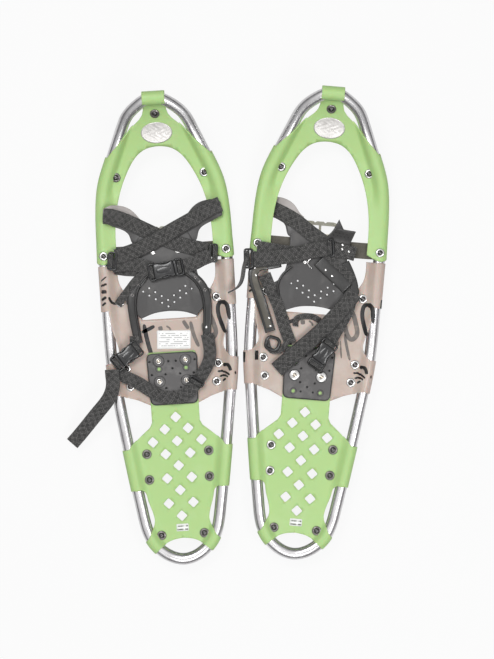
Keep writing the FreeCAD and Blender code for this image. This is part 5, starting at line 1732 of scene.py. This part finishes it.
    def rivets(self) -> None:
        """The four rivets that hold the sole to the pivot strap and the crampon."""
        tools = Fasteners(self.place, self.finishes)
        parts = [stood(tools.dome(4.2, 1.5, SOLE_TOP + 3.2), x, y, SOLE_TOP + 0.1) for x, y in SOLE_RIVETS]
        self.piece("sole_rivets", joined(parts), "bright_zinc", "heel_rivet", "binding", ["binding_rivets"])

    def build(self) -> None:
        """Make the harness for this shoe, and dress the crampon under it."""
        self.sole()
        self.rivets()
        self.dress("front_crampon", "crampon_steel")
        if self.place.side is Side.LEFT:
            self.left_parts()
        else:
            self.right_parts()


@dataclass
class Buckles(Workshop):
    """Side-release buckles, ladder locks and loops."""

    def socket(self) -> Surface:
        """A buckle's socket along -X from its mouth: waisted block, raised panel, strap bar."""
        body = soft_block([-30, -24, -16, -9, -3, 0], [12.4, 13.4, 11.2, 11.0, 13.2, 13.3],
                          [3.6, 4.1, 4.1, 4.1, 4.0, 3.8], 4.5)
        panel = soft_block([-26, -18, -10, -4], [5.0, 8.4, 8.2, 5.5], [4.3, 4.8, 4.7, 4.3], 2.6)
        frame_line = rounded_loop(9.5, 25.6, 3.0) + [-32.0, 0, 0]
        bar = round_bar(frame_line, 1.7, True, 1.3)
        return joined([body, panel, bar])

    def clip(self) -> Surface:
        """A buckle's clip along +X: grip ribs, slotted base, and springy arms in the socket."""
        base = round_bar(rounded_loop(11.0, 25.4, 3.2) + [7.0, 0, 0], 1.7, True, 1.35)
        bridge = soft_block([0.4, 2, 4.2], [12.6, 13.2, 12.4], [3.0, 3.3, 3.0], 4.0)
        parts = [base, bridge]
        for sign in (1, -1):
            arm = spline([(0, sign * 9.0, 0), (-8, sign * 10.6, 0), (-15, sign * 12.2, 0),
                          (-21, sign * 10.4, 0),
                          (-24, sign * 8.6, 0)], 26)
            parts.append(round_bar(arm, 1.5, False, 1.3))
        middle = np.stack([np.linspace(0, -17, 8), np.zeros(8), np.zeros(8)], 1)
        parts.append(round_bar(middle, 1.6))
        return joined(parts)

    def ladder_lock(self, depth: float, width: float) -> Surface:
        """A strap frame: a rounded rim, two cross bars and a raised grip on one end."""
        rim = round_bar(rounded_loop(depth - 3.2, width - 3.2, 3.2) + [0, 0, 1.7], 1.65, True)
        bars = []
        for x, thick in ((0.0, 1.7), (depth * 0.27, 1.3)):
            line = np.stack([np.full(12, x), np.linspace(-width / 2 + 2, width / 2 - 2, 12),
                             np.full(12, 1.7)], 1)
            bars.append(round_bar(line, thick))
        return joined([rim] + bars)

    def strap_turn(self, depth: float, width: float) -> Surface:
        """The strap where it goes over a lock's outer bar and back under."""
        a = np.linspace(-1.9, 1.9, 14)
        x = depth * 0.22 - 3.6 * np.cos(a) - depth * 0.3
        z = 1.7 + 3.0 * np.sin(a)
        left = np.stack([x, np.full(14, -width / 2), z - DECK_Z], 1)
        return band(left, left + [0, width, 0], 1.7, 30)

    def lock(self, name: str, node: Sequence[str], x: float, y: float, up: float, turn: float, depth: float,
             width: float, body: str, finish: str = "buckle_acetal") -> None:
        """A ladder lock at a place on the deck plane, turned, and the strap's turn in it.

        Args:
            name: The piece's name.
            node: The node that it stands for.
            x: Its middle across the shoe.
            y: Its middle along the shoe.
            up: Height over the deck plane.
            turn: Degrees anticlockwise.
            depth: Along the strap.
            width: Across the strap.
            body: The body it rides on.
            finish: The name of its finish.
        """
        direction = (math.cos(math.radians(turn)), math.sin(math.radians(turn)), 0)
        at = (x, y, DECK_Z + up)
        self.piece(name, aimed(self.ladder_lock(depth, width), at, direction), finish, "buckle", body, node)
        self.piece(name + "_strap", aimed(self.strap_turn(depth, width - 8), at, direction), "strap_webbing",
                   "webbing", body)

    def side_release(self, name: str, at: Sequence, direction: Sequence, fixed: str, moving: str,
                     stretch: float = 1.0) -> None:
        """A socket and its clip, which ride on two bodies, and the strap's turns in both.

        Args:
            name: The buckle's name.
            at: The socket's mouth.
            direction: Where the clip pulls out to.
            fixed: The socket's body.
            moving: The clip's body.
            stretch: Its length over the usual one.
        """
        place = (at[0], at[1], DECK_Z + at[2])
        socket, clip = self.socket(), self.clip()
        for shape in (socket, clip):
            shape.points = shape.points * [stretch, 1, 1]
        self.piece(name + "_socket_moulding", aimed(socket, place, direction), "buckle_acetal", "buckle",
                   fixed, [name + "_socket"])
        self.piece(name + "_clip_moulding", aimed(clip, place, direction), "buckle_acetal", "buckle",
                   moving, [name + "_clip"])
        for part, x, body in (("_socket_strap", -32.0, fixed), ("_clip_strap", 9.0, moving)):
            turn = self.strap_turn(9.0, 19.5)
            turn.points = turn.points * [1.0, 1.0, 1.1] + [x * stretch + 1.0, 0, -1.6]
            self.piece(name + part, aimed(turn, place, direction), "strap_webbing", "webbing", body)

    def build(self) -> None:
        """Make this shoe's buckles, locks and loops."""
        if self.place.side is Side.LEFT:
            self.side_release("toe_buckle", (13.4, 102, 13.2), (66, 9, 0), "binding", "toe_clip", 1.12)
            self.side_release("heel_buckle", (-82, -42.5, 17.6), (-56, -38, 8), "heel_band", "heel_clip")
            self.lock("outer_lock", ["outer_strap_lock"], -85.5, 119, 15.4, -8, 16, 31, "outer_flap")
            self.lock("inner_lock", ["inner_strap_lock"], 78.5, 122, 15.8, 174, 15, 31, "inner_flap")
            self.lock("heel_slide", ["heel_strap_slide"], 38, -84, 10.4, 56, 13, 27, "heel_band")
            return
        self.side_release("heel_buckle", (14, -55, 18.0), (-27, -47, 0), "heel_band", "heel_clip")
        self.lock("side_lock", ["strap_locks"], -112, 101, 20.6, 6, 16, 33, "binding")
        self.lock("centre_lock", [], 20, 129.5, 12.8, 8, 11, 30, "binding")
        loop = round_bar(rounded_loop(21, 20, 7.0) + [0, 0, 1.7], 2.7, True, 0.7)
        direction = (math.cos(math.radians(-12)), math.sin(math.radians(-12)), 0)
        self.piece("heel_loop_ring", aimed(loop, (-62, -33, DECK_Z + 5.4), direction), "buckle_acetal",
                   "buckle",
                   "binding", ["heel_d_loop"])


@dataclass
class Straps(Workshop):
    """Webbing straps, each laid along the route that its solid has."""

    webbing: float = WEBBING
    heel: float = HEEL_WEBBING

    def crossing(self, name: str, route: Sequence, node: str) -> None:
        """A strap over both flaps, made in two halves that meet at the middle.

        Args:
            name: The strap's name.
            route: Its middle line.
            node: The node that it stands for.
        """
        full = ribbon(route, self.webbing)
        sides = SECTION_SIDES
        rings = (len(full.points) - 2) // sides
        around = full.points[:rings * sides].reshape(rings, sides, 3)
        flat = full.uv[:rings * sides].reshape(rings, sides, 2)
        centre = around.mean(1)
        cut = int(np.abs(centre[:, 0]).argmin())
        towards = 1 if centre[0, 0] > 0 else -1
        for part, sign, rows in ((0, towards, slice(0, cut + 1)), (1, -towards, slice(cut, rings))):
            body = "inner_flap" if sign > 0 else "outer_flap"
            self.bent(f"{name}_{'inner' if sign > 0 else 'outer'}", skin(around[rows], flat[rows]),
                      "strap_webbing", "webbing",
                      ("binding", body), (sign * 36, 159, DECK_Z + 6), (sign * 56, 170, DECK_Z + 6),
                      [node] if part == 0 else [])

    def left(self) -> None:
        """The left shoe's straps."""
        upper = [(95, 200, 21.8), (84, 196.5, 21.8), (72, 191.5, 17.3), (58, 184.5, 12), (38, 174.5, 10.4),
                 (18, 165, 10.2), (0, 155.5, 10.2), (-22, 144.5, 10.2), (-46, 135, 11.4), (-62, 130, 14.4),
                 (-80, 126, 16.4)]
        lower = [(-95, 192.5, 20.9), (-84, 191, 20.9), (-72, 187.5, 16.4), (-58, 181.5, 11.6),
                 (-38, 171, 7.6),
                 (-18, 160, 6.9), (0, 150.5, 6.9), (22, 141, 6.9), (44, 134, 7.2), (60, 129.5, 11),
                 (70, 126.5, 14.4)]
        self.crossing("upper_strap", upper, "upper_toe_strap")
        self.crossing("lower_strap", lower, "lower_toe_strap")
        instep_left = [(-86, 112, 16.2), (-66, 113, 12.5), (-50, 112, 11.4), (-34, 107, 11.0),
                       (-16, 100, 11.0)]
        instep_right = [(27, 103, 11.2), (40.5, 106, 12.0), (50, 109, 14), (59, 113, 16.8), (74, 118, 18.0)]
        self.bent("instep_outer", ribbon(instep_left, 23), "strap_webbing", "webbing",
                  ("binding", "outer_flap"),
                  (-40, 110, DECK_Z + 11), (-66, 113, DECK_Z + 11), ["instep_strap"])
        self.bent("instep_inner", ribbon(instep_right, 23), "strap_webbing", "webbing",
                  ("binding", "inner_flap"),
                  (42, 106, DECK_Z + 11), (62, 114, DECK_Z + 11))
        around = [(-89, -61, 14.4), (-76, -70, 10.8), (-58, -80, 8.8), (-34, -97, 9), (-12, -107, 8.8),
                  (8, -108, 8.8),
                  (24, -101, 8.8), (36, -88, 8.8), (52, -67, 8.8), (62, -45, 9.6), (62, -22, 11.4),
                  (60, -8, 11.6)]
        tail = [(-97, -56, 20.5), (-97, -68, 19), (-97, -80, 18.4), (-104, -100, 17), (-120, -119, 12),
                (-140, -140, 3), (-158, -159, -5), (-172, -173, -10)]
        stub = [(-58, -4, 11.2), (-58, -14, 12.4), (-59, -24, 14), (-64, -31, 16.5)]
        parts = [ribbon(around, self.heel), ribbon(tail, self.heel + 2), ribbon(stub, self.heel - 5)]
        self.piece("heel_webbing", joined(parts), "strap_webbing", "webbing", "heel_band", ["heel_strap"])
        loop = [(-84, 103, 7.0), (-66, 99, 7.2), (-46, 97, 7.4), (-30, 96, 7.6)]
        self.piece("instep_under", ribbon(loop, 10, 1.6), "strap_webbing", "webbing", "binding")

    def right(self) -> None:
        """The right shoe's straps."""
        upper = [(-106, 99.5, 20.4), (-86, 102.5, 18.8), (-66, 107, 14.4), (-40, 113, 11.6), (-12, 122, 11.3),
                 (16, 129, 11.6)]
        side = [(24, 127, 11.6), (34, 126, 10.2), (44, 125.5, 9.8), (60, 122.5, 9.4)]
        lower = [(-82, 186, -6.2), (-72, 183.5, -3.6), (-58, 177, 2.8), (-38, 166.5, 7.6), (-18, 153, 8),
                 (0, 142, 8), (14, 134, 8.2)]
        under = [(-100, 121, 18.8), (-84, 120.5, 17.4), (-70, 119.5, 10.8), (-50, 118.5, 7.4),
                 (-30, 116.5, 7.2)]
        tail = [(-118, 100, 15), (-121, 86, 14), (-122, 70, 14), (-127, 54, 15), (-141, 43, 16)]
        instep = [(-84, 78, 12.6), (-72, 54, 8.4), (-60, 33, 7.6), (-45, -4, 6.4), (-33, -30, 6.4)]
        loop = [(-27, -2, 3.2), (-26, 10, 3.2), (-15, 15, 3.2), (0, 15.5, 3.2), (12, 10, 3.2)]
        diagonal = [(64, 60, 13), (52, 42, 12.6), (26, 7, 12.4), (4, -18, 12.2), (-20, -42, 10.6),
                    (-52, -75, 9.2)]
        self.piece("upper_strap", joined([ribbon(upper, self.webbing), ribbon(side, self.webbing - 2)]),
                   "strap_webbing", "webbing", "binding", ["upper_toe_strap"])
        self.piece("lower_strap", joined([ribbon(lower, self.webbing), ribbon(under, 19)]), "strap_webbing",
                   "webbing", "binding", ["lower_toe_strap"])
        self.piece("loose_tail", edge_ribbon(tail, (5.5, 2.5, 18), 2.4), "strap_webbing", "webbing",
                   "binding",
                   ["toe_strap_tail"])
        self.piece("instep_straps", joined([ribbon(instep, 20), ribbon(loop, 10)]), "strap_webbing",
                   "webbing",
                   "binding", ["instep_strap"])
        self.piece("heel_webbing", ribbon(diagonal, 26), "strap_webbing", "webbing", "heel_band",
                   ["heel_strap"])
        second = [(60, 48, 10.2), (56, 30, 9.8), (46, 6, 9.2), (34, -18, 11), (26, -30, 15)]
        self.piece("heel_webbing_below", ribbon(second, 18), "strap_webbing", "webbing", "heel_band")
        tie = [(-71, -30, 6.0), (-62, -45, 5.0), (-48, -42, 5.4), (-38, -26, 6.2)]
        self.piece("loop_webbing", ribbon(tie, 9), "strap_webbing", "webbing", "binding")

    def build(self) -> None:
        """Make this shoe's straps."""
        if self.place.side is Side.LEFT:
            self.left()
        else:
            self.right()


@dataclass
class Studio:
    """A pale floor, soft light from above and the camera over the pair."""

    eye_height: float = 2.631
    centre: tuple = (0.0312, -0.0017)
    roll: float = math.radians(0.55)
    view_height: float = 1.074
    focus_height: float = 0.031

    def floor(self) -> None:
        """A wide plain floor just under the crampon teeth."""
        material = bpy.data.materials.new("studio_floor")
        material.use_nodes = True
        material.node_tree.nodes.clear()
        g = Graph(material.node_tree)
        pale = g.add("BsdfDiffuse", {"Color": (0.62, 0.62, 0.62, 1)})
        glow = g.add("Emission", {"Color": (1, 1, 1, 1), "Strength": 1.0})
        seen = g.math("MULTIPLY", g.add("LightPath").outputs["Is Camera Ray"], 0.90)
        both = g.add("MixShader", {0: seen, 1: pale.outputs[0], 2: glow.outputs[0]})
        g.tree.links.new(both.outputs[0], g.add("OutputMaterial").inputs[0])
        mesh = bpy.data.meshes.new("studio_floor")
        reach = 6.0
        mesh.from_pydata([(-reach, -reach, -0.0005), (reach, -reach, -0.0005), (reach, reach, -0.0005),
                          (-reach, reach, -0.0005)], [], [(0, 1, 2, 3)])
        mesh.materials.append(material)
        floor = bpy.data.objects.new("studio_floor", mesh)
        bpy.context.scene.collection.objects.link(floor)

    def lamp(self, name: str, at: Sequence, aim: Sequence, size: tuple, power: float) -> None:
        """A soft rectangular lamp aimed at a point.

        Args:
            name: The lamp's name.
            at: Where it hangs.
            aim: What it points at.
            size: Its two sides.
            power: In watts.
        """
        data = bpy.data.lights.new(name, "AREA")
        data.shape = "RECTANGLE"
        data.size, data.size_y = size
        data.energy = power
        lamp = bpy.data.objects.new(name, data)
        back = (np.array(at) - np.array(aim)).astype(float)
        lamp.rotation_euler = Vector(back.tolist()).to_track_quat("Z", "Y").to_euler()
        lamp.location = at
        bpy.context.scene.collection.objects.link(lamp)

    def build(self) -> None:
        """Set up the floor, the lamps, the world and the camera."""
        self.floor()
        self.lamp("key_panel", (-0.55, 0.75, 2.2), (0, 0, 0), (0.7, 0.7), 19.0)
        self.lamp("side_panel", (1.0, -0.5, 2.0), (0, 0, 0), (0.5, 0.5), 11.0)
        self.lamp("rear_panel", (0.1, -1.5, 1.8), (0, 0, 0), (0.9, 0.5), 7.0)
        world = bpy.data.worlds.new("soft_world")
        world.use_nodes = True
        g = Graph(world.node_tree)
        up = g.add("SeparateXYZ", {0: g.add("TexCoord").outputs["Generated"]}).outputs[2]
        sky = g.mix(g.ramp(up, 0.1, 0.95), (0.10, 0.10, 0.105), (0.95, 0.95, 0.95))
        back = world.node_tree.nodes["Background"]
        g.tree.links.new(sky, back.inputs[0])
        back.inputs[1].default_value = 0.8
        scene = bpy.context.scene
        scene.world = world
        scene.view_settings.view_transform = "Standard"
        data = bpy.data.cameras.new("overhead")
        data.sensor_width = 36.0
        data.lens = data.sensor_width * (self.eye_height - self.focus_height) / self.view_height
        camera = bpy.data.objects.new("overhead", data)
        camera.location = (*self.centre, self.eye_height)
        camera.rotation_euler = (0, 0, self.roll)
        scene.collection.objects.link(camera)
        scene.camera = camera


def main() -> None:
    """Build the studio, then each shoe's sub-assemblies in order."""
    effects = Effects()
    finishes = {finish.name: finish.material(effects) for finish in FINISHES}
    Studio().build()
    for side in Side:
        place = PairPlace(side)
        for kind in (FrameAndDecks, DeckPrint, Fasteners, HeelStation, PivotStrap, Harness, Buckles, Straps):
            LOG.info("%s %s", place.name, kind.__name__)
            kind(place, finishes).build()


if __name__ == "__main__":
    main()
